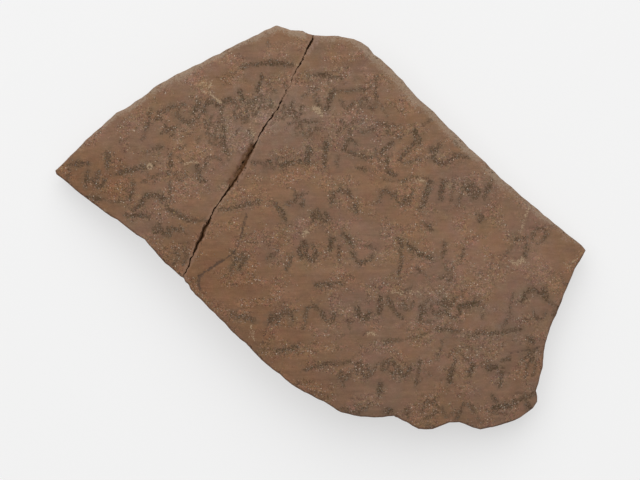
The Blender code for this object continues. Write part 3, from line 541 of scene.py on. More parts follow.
@dataclass(frozen=True)
class WearAndShade:
    """How the edges of the clay are worn, and where highlight and shade are painted along them.

    Distances are in millimetres. Where a change runs from one value to another, both are given.

    Attributes:
        face_edge: Distance from the arris over which the break still takes ink and scars.
        open_gap: Gaps across the join where an edge starts to count as an open one.
        skin_inset: Distances from the arris where the relief of the skin sets in.
        heel_inset: Distances from the heel where the relief of the back sets in.
        bluntness: How far the open arris has fallen.
        blunt_skin: Distances from the arris where that ends on the skin.
        blunt_break: The same on the break.
        chip_gap: Gaps across the join where a chip gets shallower.
        chip_depth: How deep a chip is at the join, as a share of its depth.
        ink_depth: How deep the ink has bitten.
        break_edge: Distances from the arris where the colour of the break sets in.
        dirt_and_shade_depth: Distances from the arris where the dirt and painted shade of the join
            end.
        cleft_gap: Gaps that are too wide to look like a cleft.
        cleft_depth: Distances from the arris where the painted shade of the cleft sets in.
        core_depth: Distances from both faces where the dull core sets in.
        core_ragged: How much of the raggedness its border has.
        lean_over: Distance over which the way that the rim faces is evened out.
        upper_rim: How far a rim has to face up the face to be a pale upper one with a painted
            highlight.
        lower_way: The way that a lower rim with painted shade faces.
        lower_rim: How far it has to face that way.
        lip_width: Distances from the arris where the lips of the join end.
        lip_ragged: How much of the raggedness they have.
        dark_width: Distances from the arris where the dark rim of painted shade ends.
        dark_ragged: How much of the raggedness it has.
        dark_strength: How strong it is.
        pale_width: Shares of its reach where the pale rim starts to end and has ended.
        pale_ragged: How much of the raggedness it has.
        pale_break: Distances from the arris where it ends on the break.
        pale_gap: Unevenness where it starts to have gaps.
        pale_lost: How much of it is lost in a gap.
        pale_least: How strong it is on the other edges.
        pale_more: How much stronger it is on the upper ones, as painted highlight.
    """

    face_edge: float = 1.1
    open_gap: Point = (1.4, 2.2)
    skin_inset: Point = (0.0, 1.5)
    heel_inset: Point = (0.0, 1.5)
    bluntness: float = 0.15
    blunt_skin: Point = (0.0, 2.0)
    blunt_break: Point = (0.0, 1.1)
    chip_gap: Point = (0.1, 1.9)
    chip_depth: float = 1.3
    ink_depth: float = 0.04
    break_edge: Point = (-0.2, 0.65)
    dirt_and_shade_depth: Point = (4.0, 8.0)
    cleft_gap: Point = (0.7, 1.3)
    cleft_depth: Point = (0.3, 0.9)
    core_depth: Point = (1.4, 3.2)
    core_ragged: float = 0.9
    lean_over: float = 3.0
    upper_rim: Point = (0.2, 0.65)
    lower_way: Point = (0.2, -0.98)
    lower_rim: Point = (0.1, 0.6)
    lip_width: Point = (0.1, 0.95)
    lip_ragged: float = 0.45
    dark_width: Point = (0.2, 0.6)
    dark_ragged: float = 0.2
    dark_strength: float = 0.2
    pale_width: Point = (0.1, 1.7)
    pale_ragged: float = 0.35
    pale_break: Point = (0.4, 1.2)
    pale_gap: Point = (0.0, 0.6)
    pale_lost: float = 0.5
    pale_least: float = 0.04
    pale_more: float = 0.84


@dataclass(frozen=True)
class Grain:
    """A rough texture of the break: its name and type, and its size and depth in millimetres."""

    label: str
    kind: str
    size: float
    depth: float
    middle: float = 0.53


JOIN = Join()
WEAR_AND_SHADE = WearAndShade()
BREAK_GRAINS = (
    Grain("lumps", "CLOUDS", 3.4, 1.4),
    Grain("crumbs", "CLOUDS", 1.1, 0.5),
    Grain("voids", "VORONOI", 1.9, 0.4),
)


def rounded(corners: np.ndarray, step: float = 0.25) -> np.ndarray:
    """A smooth line through corner points.

    Args:
        corners: Points in millimetres, one row each.
        step: Longest distance between two points of the result.

    Returns:
        Points along the line, ends included.
    """
    ends = np.vstack([2 * corners[0] - corners[1], corners, 2 * corners[-1] - corners[-2]])
    smooth = []
    for before, here, there, after in zip(ends, ends[1:], ends[2:], ends[3:]):
        speed = there - before
        bend = 2 * before - 5 * here + 4 * there - after
        twist = 3 * here - before - 3 * there + after
        count = max(1, math.ceil(float(np.linalg.norm(there - here)) / step))
        for t in np.arange(count) / count:
            smooth.append(0.5 * (2 * here + speed * t + bend * t**2 + twist * t**3))
    smooth.append(corners[-1])
    return np.array(smooth)


def swell(
    places: np.ndarray, size: float | Sequence[float], seed: float, octaves: int = 2
) -> np.ndarray:
    """Natural unevenness at many places.

    Args:
        places: Points in millimetres, one row each.
        size: Length of one swell in millimetres, or its lengths along X, Y and Z.
        seed: Moves the pattern, so that two layers differ.
        octaves: How many finer layers are added up.

    Returns:
        A value from about -1 to 1 for each place.
    """
    fade, finer = 0.9, 2.0
    scaled = places / np.array(size) + seed
    return np.array([noise.fractal(Vector(p), fade, finer, octaves) for p in scaled.tolist()])


def eased(value: np.ndarray, low: float, high: float) -> np.ndarray:
    """A smooth step from 0 at low to 1 at high, for whole arrays."""
    t = np.clip((value - low) / (high - low), 0.0, 1.0)
    return t * t * (3.0 - 2.0 * t)


def read_off(table: tuple[Point, ...], along: np.ndarray) -> np.ndarray:
    """Values between those of a table, whose first column tells where each one holds."""
    return np.interp(along, *np.array(table).T)


def select_only(piece: bpy.types.Object) -> None:
    """Makes one object the only selected and the active one.

    Args:
        piece: The object.
    """
    bpy.ops.object.select_all(action="DESELECT")
    piece.select_set(True)
    bpy.context.view_layer.objects.active = piece


class Clay:
    """The points of one fragment in millimetres, with what is worked into them.

    Attributes:
        places: Where each point is now.
        normals: The way each point faces.
        share: How much of each side meets at a point, from 0 to 1.
        shown: Which points lie on the written face or just below its edge.
        layers: What the material reads at each point.
    """

    def __init__(self, mesh: bpy.types.Mesh) -> None:
        """Reads the points, normals and sides of a mesh.

        Args:
            mesh: The mesh, all of triangles.
        """
        count = len(mesh.vertices)
        flat = np.empty(count * 3)
        mesh.vertices.foreach_get("co", flat)
        self.places = flat.reshape(-1, 3) / MM
        mesh.vertices.foreach_get("normal", flat)
        self.normals = flat.reshape(-1, 3).copy()
        self.share = self._shares(mesh, count)
        self.shown = self.share[Side.SKIN] > NO_SHARE
        self.layers = {layer: np.zeros(count) for layer in Layer}

    @staticmethod
    def _shares(mesh: bpy.types.Mesh, count: int) -> dict[Side, np.ndarray]:
        """Finds out how much of each side meets at every point.

        Args:
            mesh: The mesh, whose material numbers name the sides.
            count: How many points it has.

        Returns:
            For each side a share from 0 to 1 at each point.
        """
        sides = np.empty(len(mesh.polygons), np.int32)
        mesh.polygons.foreach_get("material_index", sides)
        corners = np.empty(len(mesh.loops), np.int32)
        mesh.loops.foreach_get("vertex_index", corners)
        around = np.maximum(np.bincount(corners, minlength=count), 1)
        owners = np.repeat(sides, 3)
        return {
            side: np.bincount(corners[owners == side.value], minlength=count) / around
            for side in Side
        }

    def border(self, side: Side) -> np.ndarray:
        """The numbers of the points where one side meets another."""
        share = self.share[side]
        return np.flatnonzero((share > NO_SHARE) & (share < WHOLE_SHARE))

    def trace(self, scar: Scar) -> np.ndarray:
        """Lays a scratch or smear in its layer.

        Args:
            scar: The scratch or smear.

        Returns:
            How deep it lies at each point, in millimetres.
        """
        line = rounded(np.array(scar.line))
        half = np.full(len(line), scar.width / 2)
        field = self._nearness(line, half, SCAR_SOFT, scar.ragged)
        layer = self.layers[scar.layer]
        np.maximum(layer, field * scar.strength, out=layer)
        return field * scar.depth

    def ink(self, mark: Mark) -> None:
        """Lays one touch of ink in the ink layers, with a faint smudge round it.

        Args:
            mark: The touch.
        """
        fields = self.layers
        for line in mark.lines():
            along = np.linspace(0.0, 1.0, len(line))
            taper = 0.7 + 0.3 * np.sin(np.pi * np.clip(along * 0.8 + 0.2, 0, 1)) ** 0.5
            pulse = swell(np.column_stack([line, np.zeros(len(line))]), 1.6, 5.0)
            half = 0.45 * mark.pen * taper * (1 + 0.35 * pulse)
            field = self._nearness(line, half, INK_SOFT, INK_RAGGED)
            fresh = (field > fields[Layer.INK] * 0.98) & (field > 0)
            fields[Layer.INK_WEIGHT][fresh] = mark.dark
            np.maximum(fields[Layer.INK], field, out=fields[Layer.INK])
            haze = self._nearness(line, half + HAZE_REACH, HAZE_SOFT, HAZE_RAGGED) * mark.dark
            np.maximum(fields[Layer.SMUDGE], haze, out=fields[Layer.SMUDGE])

    def _nearness(
        self, line: np.ndarray, half: np.ndarray, soft: float, ragged: float
    ) -> np.ndarray:
        """How well each point of the skin lies inside a drawn line.

        Args:
            line: Points of the line in millimetres.
            half: Half its width at each of those points.
            soft: Width over which it fades, centred on its edge.
            ragged: How far its edge wanders, in millimetres.

        Returns:
            1 well inside, 0.5 on its edge and 0 outside.
        """
        reach = float(half.max()) + soft + ragged
        low, high = line.min(axis=0) - reach, line.max(axis=0) + reach
        flat = self.places[:, :2]
        inside = (flat > low).all(axis=1) & (flat < high).all(axis=1)
        near = np.flatnonzero(inside & self.shown)
        field = np.zeros(len(flat))
        if len(near) == 0:
            return field
        gap = np.linalg.norm(flat[near][:, None, :] - line[None, :, :], axis=2) - half
        edge = gap.min(axis=1) + ragged * swell(self.places[near], 1.1, 11.0, 3)
        field[near] = np.clip(0.5 - edge / soft, 0.0, 1.0)
        return field

    def push(self, depth: np.ndarray) -> None:
        """Moves every point into the clay against its normal, by a depth in millimetres."""
        self.places = self.places - self.normals * depth[:, None]

    def store(self, mesh: bpy.types.Mesh) -> None:
        """Writes the places and the layers back.

        Args:
            mesh: The mesh that they were read from.
        """
        mesh.vertices.foreach_set("co", (self.places * MM).ravel())
        for layer, values in self.layers.items():
            attribute = mesh.attributes.new(layer.value, "FLOAT", "POINT")
            attribute.data.foreach_set("value", values.astype(np.float32))
        mesh.update()


@dataclass
class Lie:
    """Where each point of a fragment lies, with all distances in millimetres.

    Attributes:
        arris: How far it is from the edge of the written face.
        nearest: The number of the nearest point of that edge.
        heel: How far it is from the edge of the hidden face.
        way: The way to the solid across the join.
        gap: The length of that way.
        facing: 1 where the clay looks across the join and 0 where it looks away.
        outward: The distance from the arris again, less than 0 on the written face.
        joined: 1 where the nearest point of the arris lies at the join.
        ragged: How far the borders of wear wander there.
    """

    arris: np.ndarray
    nearest: np.ndarray
    heel: np.ndarray
    way: np.ndarray
    gap: np.ndarray
    facing: np.ndarray
    outward: np.ndarray
    joined: np.ndarray
    ragged: np.ndarray


@dataclass
class Fragment:
    """One broken piece of the sherd: a finely divided copy of its solid, weathered.

    Attributes:
        node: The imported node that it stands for.
        name: The name of the new piece.
        neighbour: The node on the other side of the join.
        lead: 1 where this fragment closes the wide places of the join, 0 where the other does.
        skin_facet: Longest facet edge on the written face, in metres.
        break_facet: Longest facet edge on the broken edges, in metres.
        back_facet: Longest facet edge on the hidden face, in metres.
        weld: Distance in metres below which two corners of the solid are one.
        upright: How steeply a face looks up or down that belongs to the skin or the back.
        halvings: How often a long edge may be halved.
        smoothings: How often the flat facets are smoothed.
        skin_rim: Width along the arris that stays out of it, in millimetres.
        back_rim: The same along the heel.
        foot: Height above the table that stays out of it, in millimetres.
        arris_round: How far from a sharp edge it is rounded, in millimetres.
        join_reach: Distance from the join where the open edges start, in millimetres.
        pits: How many places on the written face grit may have fallen out of.
        pit_seed: Settles where those are.
        pit_field: How far those lie from the middle at most, along X and Y.
        pit_size: Their smallest and largest radius in millimetres.
        pit_depth: Their smallest and largest depth in millimetres.
        rill: Distance between two throwing rills inside the pot, in millimetres.
        rill_depth: How deep they are, in millimetres.
        feet: Heights above the table where they set in, in millimetres.
    """

    node: str
    name: str
    neighbour: str
    lead: float = 0.0
    skin_facet: float = 0.46 * MM
    break_facet: float = 0.62 * MM
    back_facet: float = 1.1 * MM
    weld: float = 2e-6
    upright: float = 0.86
    halvings: int = 6
    smoothings: int = 30
    skin_rim: float = 0.9
    back_rim: float = 1.2
    foot: float = 0.3
    arris_round: float = 0.55
    join_reach: float = 2.2
    pits: int = 520
    pit_seed: int = 17
    pit_field: Point = (70.0, 53.0)
    pit_size: Point = (0.3, 0.75)
    pit_depth: Point = (0.03, 0.14)
    rill: float = 6.8
    rill_depth: float = 0.28
    feet: Point = (0.08, 1.2)

    def build(self, nodes: dict[str, bpy.types.Object]) -> bpy.types.Object:
        """Makes the fragment.

        Args:
            nodes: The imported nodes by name.

        Returns:
            The finished mesh, not yet dressed.
        """
        piece = self._copy_solid(nodes[self.node])
        other = self._copy_solid(nodes[self.neighbour])
        self._other_side = BVHTree.FromObject(other, bpy.context.evaluated_depsgraph_get())
        bpy.data.objects.remove(other)
        self._name_sides(piece)
        self._divide(piece, Side.SKIN, self.skin_facet)
        self._divide(piece, Side.BREAK, self.break_facet)
        self._divide(piece, Side.BACK, self.back_facet)
        self._ease_skin(piece)
        self._roughen(piece)
        self._weather(piece)
        self._close(piece)
        return piece

    def _copy_solid(self, solid: bpy.types.Object) -> bpy.types.Object:
        """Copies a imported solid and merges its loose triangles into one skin.

        Args:
            solid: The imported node.

        Returns:
            The copy.
        """
        mesh = solid.data.copy()
        mesh.name = self.name
        mesh.materials.clear()
        piece = bpy.data.objects.new(self.name, mesh)
        bpy.context.scene.collection.objects.link(piece)
        select_only(piece)
        for attribute in [a.name for a in mesh.attributes if a.name.startswith(("UV", "Col"))]:
            mesh.attributes.remove(mesh.attributes[attribute])
        bpy.ops.object.mode_set(mode="EDIT")
        bpy.ops.mesh.select_all(action="SELECT")
        bpy.ops.mesh.remove_doubles(threshold=self.weld)
        bpy.ops.mesh.normals_make_consistent(inside=False)
        bpy.ops.object.mode_set(mode="OBJECT")
        return piece

    def _name_sides(self, piece: bpy.types.Object) -> None:
        """Numbers each face by the side that it belongs to.

        Args:
            piece: The merged copy.
        """
        for face in piece.data.polygons:
            if face.normal.z > self.upright:
                face.material_index = Side.SKIN.value
            elif face.normal.z < -self.upright:
                face.material_index = Side.BACK.value
            else:
                face.material_index = Side.BREAK.value

    def _divide(self, piece: bpy.types.Object, side: Side, longest: float) -> None:
        """Halves the long edges of one side, again and again.

        Args:
            piece: The mesh.
            side: The side to divide.
            longest: The length in metres that no edge of it exceeds in the end.
        """
        select_only(piece)
        bpy.ops.object.mode_set(mode="EDIT")
        bpy.ops.mesh.select_mode(type="EDGE")
        for _ in range(self.halvings):
            bpy.ops.mesh.select_all(action="DESELECT")
            work = bmesh.from_edit_mesh(piece.data)
            long_edges = [
                edge
                for edge in work.edges
                if edge.calc_length() > longest
                and any(face.material_index == side.value for face in edge.link_faces)
            ]
            for edge in long_edges:
                edge.select_set(True)
            bmesh.update_edit_mesh(piece.data)
            if not long_edges:
                break
            bpy.ops.mesh.subdivide(number_cuts=1)
            bpy.ops.mesh.select_all(action="SELECT")
            bpy.ops.mesh.quads_convert_to_tris(quad_method="SHORTEST_DIAGONAL")
        bpy.ops.object.mode_set(mode="OBJECT")

    def _ease_skin(self, piece: bpy.types.Object) -> None:
        """Smooths away the flat facets of the solid, and rounds its sharp arris a little.

        Args:
            piece: The divided mesh.
        """
        clay = Clay(piece.data)
        arris = self._distance(clay, Side.SKIN)[0]
        heel = self._distance(clay, Side.BACK)[0]
        inner = (clay.share[Side.SKIN] > WHOLE_SHARE) & (arris > self.skin_rim)
        lifted = clay.places[:, 2] > self.foot
        under = (clay.share[Side.BACK] > WHOLE_SHARE) & (heel > self.back_rim) & lifted
        self._smooth(piece, inner | under, self.smoothings, upright=True)
        sharp = (arris < self.arris_round) | (heel < self.arris_round)
        open_edge = self._across(clay)[1] > self.join_reach
        self._smooth(piece, sharp & open_edge, 1, upright=False)

    @staticmethod
    def _smooth(piece: bpy.types.Object, chosen: np.ndarray, times: int, upright: bool) -> None:
        """Evens out chosen points with their neighbours.

        Args:
            piece: The mesh to smooth.
            chosen: Which of its points move.
            times: How often.
            upright: Whether they move along Z only.
        """
        select_only(piece)
        bpy.ops.object.mode_set(mode="EDIT")
        bpy.ops.mesh.select_mode(type="VERT")
        bpy.ops.mesh.select_all(action="DESELECT")
        work = bmesh.from_edit_mesh(piece.data)
        work.verts.ensure_lookup_table()
        for number in np.flatnonzero(chosen).tolist():
            work.verts[number].select_set(True)
        bmesh.update_edit_mesh(piece.data)
        bpy.ops.mesh.vertices_smooth(
            factor=0.5, repeat=times, xaxis=not upright, yaxis=not upright, zaxis=True
        )
        bpy.ops.object.mode_set(mode="OBJECT")

    def _across(self, clay: Clay) -> tuple[np.ndarray, np.ndarray]:
        """Measures the way from every point to the solid across the join.

        Args:
            clay: The points.

        Returns:
            The ways and their lengths, in millimetres.
        """
        found = [self._other_side.find_nearest(place) for place in (clay.places * MM).tolist()]
        way = np.array([item[0] for item in found]) / MM - clay.places
        return way, np.array([item[3] for item in found]) / MM

    @staticmethod
    def _distance(clay: Clay, side: Side) -> tuple[np.ndarray, np.ndarray]:
        """Measures how far every point is from the border of a side.

        Args:
            clay: The points.
            side: The side.

        Returns:
            The distances in millimetres, and the number of the nearest border point.
        """
        border = clay.border(side)
        tree = kdtree.KDTree(len(border))
        for number in border.tolist():
            tree.insert(clay.places[number], number)
        tree.balance()
        found = [tree.find(place) for place in clay.places.tolist()]
        distance = np.array([item[2] for item in found])
        return distance, np.array([item[1] for item in found])

    def _roughen(self, piece: bpy.types.Object) -> None:
        """Gives the broken edges their crumbly relief, none of it where the sherd rests.

        Args:
            piece: The smoothed mesh.
        """
        clay = Clay(piece.data)
        broken = clay.share[Side.BREAK] * eased(self._distance(clay, Side.SKIN)[0], 0.2, 2.4)
        feet = eased(clay.places[:, 2], 0.05, 0.6)
        feet = feet * (0.25 + 0.75 * eased(self._across(clay)[1], 0.8, 2.5))
        for grain in BREAK_GRAINS:
            self._displace(piece, grain, broken * feet)

    @staticmethod
    def _displace(piece: bpy.types.Object, grain: Grain, share: np.ndarray) -> None:
        """Sinks a rough texture into part of a mesh.

        Args:
            piece: The mesh.
            grain: The texture.
            share: How much of it each point takes.
        """
        texture = bpy.data.textures.new(grain.label, grain.kind)
        texture.noise_scale = grain.size * MM
        if grain.kind == "CLOUDS":
            texture.noise_depth = 3
        group = piece.vertex_groups.new(name=grain.label)
        for number in np.flatnonzero(share > NO_SHARE).tolist():
            group.add([number], float(share[number]), "REPLACE")
        select_only(piece)
        bpy.ops.object.modifier_add(type="DISPLACE")
        modifier = piece.modifiers[-1]
        modifier.texture = texture
        modifier.texture_coords = "LOCAL"
        modifier.mid_level = grain.middle
        modifier.strength = grain.depth * MM
        modifier.vertex_group = group.name
        bpy.ops.object.modifier_apply(modifier=modifier.name)
        piece.vertex_groups.clear()

    def _weather(self, piece: bpy.types.Object) -> None:
        """Works wear, scars, ink and painted highlight and shade into the clay, and stores the
        layers.

        Args:
            piece: The roughened mesh.
        """
        clay = Clay(piece.data)
        lie = self._survey(clay)
        clay.shown |= (lie.arris < WEAR_AND_SHADE.face_edge) & (clay.share[Side.BREAK] > NO_SHARE)
        self._mark_sides(clay, lie)
        self._mark_rims(clay, lie)
        self._shut_join(clay, lie)
        for row in WRITING:
            for mark in row:
                clay.ink(mark)
        self._wear_down(clay, lie)
        boxes = np.array([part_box(node) for node in (self.node, self.neighbour)]) / MM
        clay.places = np.clip(clay.places, boxes[:, 0].min(axis=0), boxes[:, 1].max(axis=0))
        clay.store(piece.data)

    def _survey(self, clay: Clay) -> Lie:
        """Measures where each point lies.

        Args:
            clay: The points.

        Returns:
            Their distances from the edges and from the join.
        """
        arris, nearest = self._distance(clay, Side.SKIN)
        heel = self._distance(clay, Side.BACK)[0]
        way, gap = self._across(clay)
        facing = eased((way * clay.normals).sum(axis=1) / np.maximum(gap, HAIR), *JOIN.facing)
        outward = np.where(clay.share[Side.SKIN] > WHOLE_SHARE, -arris, arris)
        joined = 1 - eased(gap[nearest], *WEAR_AND_SHADE.open_gap)
        ragged = sum(ripple.on(clay.places) for ripple in RAGGED)
        return Lie(arris, nearest, heel, way, gap, facing, outward, joined, ragged)

    @staticmethod
    def _mark_sides(clay: Clay, lie: Lie) -> None:
        """Fills the layers of the break, the back, the dirt and painted shade of the join, and the
        patches of the skin.

        Args:
            clay: The points.
            lie: Where they lie.
        """
        layers = clay.layers
        fabric = clay.share[Side.BREAK]
        layers[Layer.HIDDEN] = clay.share[Side.BACK]
        layers[Layer.BROKEN] = eased(lie.outward, *WEAR_AND_SHADE.break_edge) * (1 - layers[Layer.HIDDEN])
        # Dirt and painted shade on the walls of the join, and painted shade deep in its narrow
        # clefts.
        inner = lie.joined * fabric * eased(lie.facing, *JOIN.facing_wall)
        layers[Layer.DIRT] = inner * (1 - eased(lie.arris, *WEAR_AND_SHADE.dirt_and_shade_depth))
        # The cleft layer is painted shade where the join is narrow.
        narrow = 1 - eased(lie.gap, *WEAR_AND_SHADE.cleft_gap)
        layers[Layer.CLEFT] = inner * narrow * eased(lie.arris, *WEAR_AND_SHADE.cleft_depth)
        inside = np.minimum(lie.arris, lie.heel) + WEAR_AND_SHADE.core_ragged * lie.ragged
        layers[Layer.CORE] = eased(inside, *WEAR_AND_SHADE.core_depth) * fabric
        layers[Layer.DUST] = sum(patch.veil(clay.places) for patch in DUSTY)
        layers[Layer.TAN] = sum(patch.veil(clay.places) for patch in TONE_DRIFTS)

    @staticmethod
    def _mark_rims(clay: Clay, lie: Lie) -> None:
        """Fills the layers of the pale rims, worn and with a painted highlight on the upper edges,
        of the dark rims, painted shade on the lower edges, and of the lips of the join.

        Args:
            clay: The points.
            lie: Where they lie.
        """
        rim = np.unique(lie.nearest)
        apart = np.linalg.norm(clay.places[rim][:, None] - clay.places[rim][None], axis=2)
        lean = np.zeros_like(clay.normals)
        lean[rim] = np.exp(-((apart / WEAR_AND_SHADE.lean_over) ** 2)) @ clay.normals[rim]
        out = lean[lie.nearest][:, :2]
        out = out / np.maximum(np.linalg.norm(out, axis=1), 1e-6)[:, None]
        upper = eased(out[:, 1], *WEAR_AND_SHADE.upper_rim)
        lower = eased(out @ np.array(WEAR_AND_SHADE.lower_way), *WEAR_AND_SHADE.lower_rim)
        lip = 1 - eased(lie.arris + WEAR_AND_SHADE.lip_ragged * lie.ragged, *WEAR_AND_SHADE.lip_width)
        # The dark rim is painted shade along the lower edges, which face away from the lamp.
        dark = 1 - eased(lie.arris + WEAR_AND_SHADE.dark_ragged * lie.ragged, *WEAR_AND_SHADE.dark_width)
        # The pale rim is wear along every open edge, made much stronger on the upper edges as a
        # painted highlight where they face the lamp.
        reach = read_off(RIM_REACH, clay.places[:, 0]) * (1 + RIM_VARIES.on(clay.places))
        low, high = (share * reach for share in WEAR_AND_SHADE.pale_width)
        pale = 1 - eased(lie.arris + WEAR_AND_SHADE.pale_ragged * lie.ragged, low, high)
        pale = pale * (1 - eased(lie.outward, *WEAR_AND_SHADE.pale_break))
        pale = pale * (1 - WEAR_AND_SHADE.pale_lost * eased(RIM_GAPS.on(clay.places), *WEAR_AND_SHADE.pale_gap))
        pale = pale * (WEAR_AND_SHADE.pale_least + WEAR_AND_SHADE.pale_more * upper)
        clay.layers[Layer.RIM_PALE] = pale * (1 - lie.joined)
        clay.layers[Layer.RIM_DARK] = WEAR_AND_SHADE.dark_strength * dark * lower * (1 - lie.joined)
        clay.layers[Layer.LIP] = lip * lie.joined

    def _shut_join(self, clay: Clay, lie: Lie) -> None:
        """Moves the walls of the join together, then bends both along its bows.

        Args:
            clay: The points, which are moved.
            lie: Where they lie.
        """
        up = clay.places[:, 1]
        leaning = 1 - eased(np.abs(up - JOIN.leaning), *JOIN.leaning_ends)
        widest = JOIN.widest - JOIN.widest_less * leaning * self.lead
        wall = eased(clay.share[Side.BREAK], 0.0, 0.2) * lie.facing
        wall = wall * (1 - eased(lie.gap - widest, -JOIN.widest_fade, 0.0))
        wall = wall * (1 - eased(lie.arris, *JOIN.depth))
        wanted = read_off(JOIN_WIDTHS, up) * (1 + CRACK_VARIES.on(clay.places))
        throat = JOIN.throat + JOIN.throat_more * wanted
        closed = np.clip((lie.arris - JOIN.mouth) / throat, 0.0, 1.0)
        wanted = wanted + (JOIN.shut - wanted) * closed
        share = 0.5 + JOIN.lip_more * (1 - eased(lie.arris, *JOIN.lip_depth))
        other = JOIN.lean_lead * leaning * eased(lie.gap, *JOIN.lean_gap)
        lone = np.maximum(self.lead, other)
        share = share + (lone - share) * eased(lie.gap, *JOIN.lone_gap)
        part = wall * share * np.maximum(lie.gap - wanted, 0.0) / np.maximum(lie.gap, HAIR)
        level = eased(lie.arris, *JOIN.level)
        way = lie.way * np.column_stack([np.ones((len(part), 2)), level])
        clay.places = clay.places + way * part[:, None]
        bows = read_off(JOIN_BOWS, clay.places[:, 1]) + CRACK_SWAYS.on(clay.places)
        clay.places[:, 0] += bows * (1 - eased(lie.gap, *JOIN.sway))

    def _wear_down(self, clay: Clay, lie: Lie) -> None:
        """Sinks rills, dents, pits, scars and ink into the clay and blunts its arris.

        Args:
            clay: The points, which are moved.
            lie: Where they lie.
        """
        skin = clay.share[Side.SKIN] * eased(lie.arris, *WEAR_AND_SHADE.skin_inset)
        blunt = (1 - eased(lie.arris, *WEAR_AND_SHADE.blunt_skin)) * (1 - lie.joined)
        blunt *= 1 + BLUNT_VARIES.on(clay.places)
        fallen = WEAR_AND_SHADE.bluntness * blunt * (1 - eased(lie.outward, *WEAR_AND_SHADE.blunt_break))
        depth = skin * (self._skin_relief(clay) + self._pitting(clay))
        for scar in SCARS:
            if scar.layer is Layer.BROKEN:
                chip = clay.trace(scar) * (WEAR_AND_SHADE.chip_depth - eased(lie.gap, *WEAR_AND_SHADE.chip_gap))
                fallen = np.maximum(fallen, chip)
            else:
                depth += clay.trace(scar) * skin
        depth += WEAR_AND_SHADE.ink_depth * clay.layers[Layer.INK] * skin
        depth += self._back_relief(clay, lie)
        clay.push(depth)
        clay.places[:, 2] -= fallen

    @staticmethod
    def _skin_relief(clay: Clay) -> np.ndarray:
        """Works out the wheel marks and dents of the written face.

        Args:
            clay: The points.

        Returns:
            Their depth at each point, in millimetres.
        """
        cos, sin = math.cos(LINE_RISE), math.sin(LINE_RISE)
        along = clay.places @ np.array([[cos, -sin, 0.0], [sin, cos, 0.0], [0.0, 0.0, 1.0]])
        depth = sum(ripple.on(along) for ripple in WHEEL_MARKS)
        for ripple in DENTS:
            depth += ripple.on(clay.places)
        return depth

    def _pitting(self, clay: Clay) -> np.ndarray:
        """Scatters small round pits where grit has fallen out.

        Args:
            clay: The points.

        Returns:
            Their depth at each point, in millimetres.
        """
        draw = random.Random(self.pit_seed)
        depth = np.zeros(len(clay.places))
        flat = clay.places[:, :2]
        for _ in range(self.pits):
            centre = np.array([draw.uniform(-reach, reach) for reach in self.pit_field])
            size = draw.uniform(*self.pit_size)
            deep = draw.uniform(*self.pit_depth)
            near = np.flatnonzero((np.abs(flat - centre) < size).all(axis=1))
            gap = np.linalg.norm(flat[near] - centre, axis=1) / size
            depth[near] = np.maximum(depth[near], deep * (1 - eased(gap, 0.1, 1.0)))
        return depth

    def _back_relief(self, clay: Clay, lie: Lie) -> np.ndarray:
        """Works out the throwing rills inside the pot, none of them where the sherd rests.

        Args:
            clay: The points.
            lie: Where they lie.

        Returns:
            Their depth at each point, in millimetres.
        """
        turns = clay.places[:, 1] * 2 * math.pi / self.rill + RILL_SWAYS.on(clay.places)
        depth = self.rill_depth * (0.5 + 0.5 * np.sin(turns))
        depth += RILL_GRAIN.depth + RILL_GRAIN.on(clay.places)
        inset = eased(lie.heel, *WEAR_AND_SHADE.heel_inset)
        return depth * eased(clay.places[:, 2], *self.feet) * clay.share[Side.BACK] * inset

    @staticmethod
    def _close(piece: bpy.types.Object) -> None:
        """Gives all faces the one clay material and smooth shading.

        Args:
            piece: The weathered mesh.
        """
        one_material = np.zeros(len(piece.data.polygons), np.int32)
        piece.data.polygons.foreach_set("material_index", one_material)
        select_only(piece)
        bpy.ops.object.shade_smooth()
        piece.data.update()


def fill(node: bpy.types.Node, inputs: dict[int | str, object]) -> None:
    """Sets sockets of a node, or joins other sockets to them.

    Args:
        node: The node.
        inputs: What each socket takes: a number, a colour, a vector or another socket.
    """
    for key, value in inputs.items():
        socket = node.inputs[key]
        if isinstance(value, bpy.types.NodeSocket):
            node.id_data.links.new(value, socket)
        elif socket.type == "RGBA":
            socket.default_value = (*value, 1.0)
        else:
            socket.default_value = value


def add_node(
    tree: bpy.types.NodeTree, kind: str, inputs: dict[int | str, object], **settings: str
) -> bpy.types.Node:
    """Adds a node to a material or to the world.

    Args:
        tree: The nodes that it joins.
        kind: Its type, without the two words that all of them begin with.
        inputs: What its sockets take.
        settings: Its other properties.

    Returns:
        The new node.
    """
    node = tree.nodes.new("ShaderNode" + kind)
    for name, value in settings.items():
        setattr(node, name, value)
    fill(node, inputs)
    return node


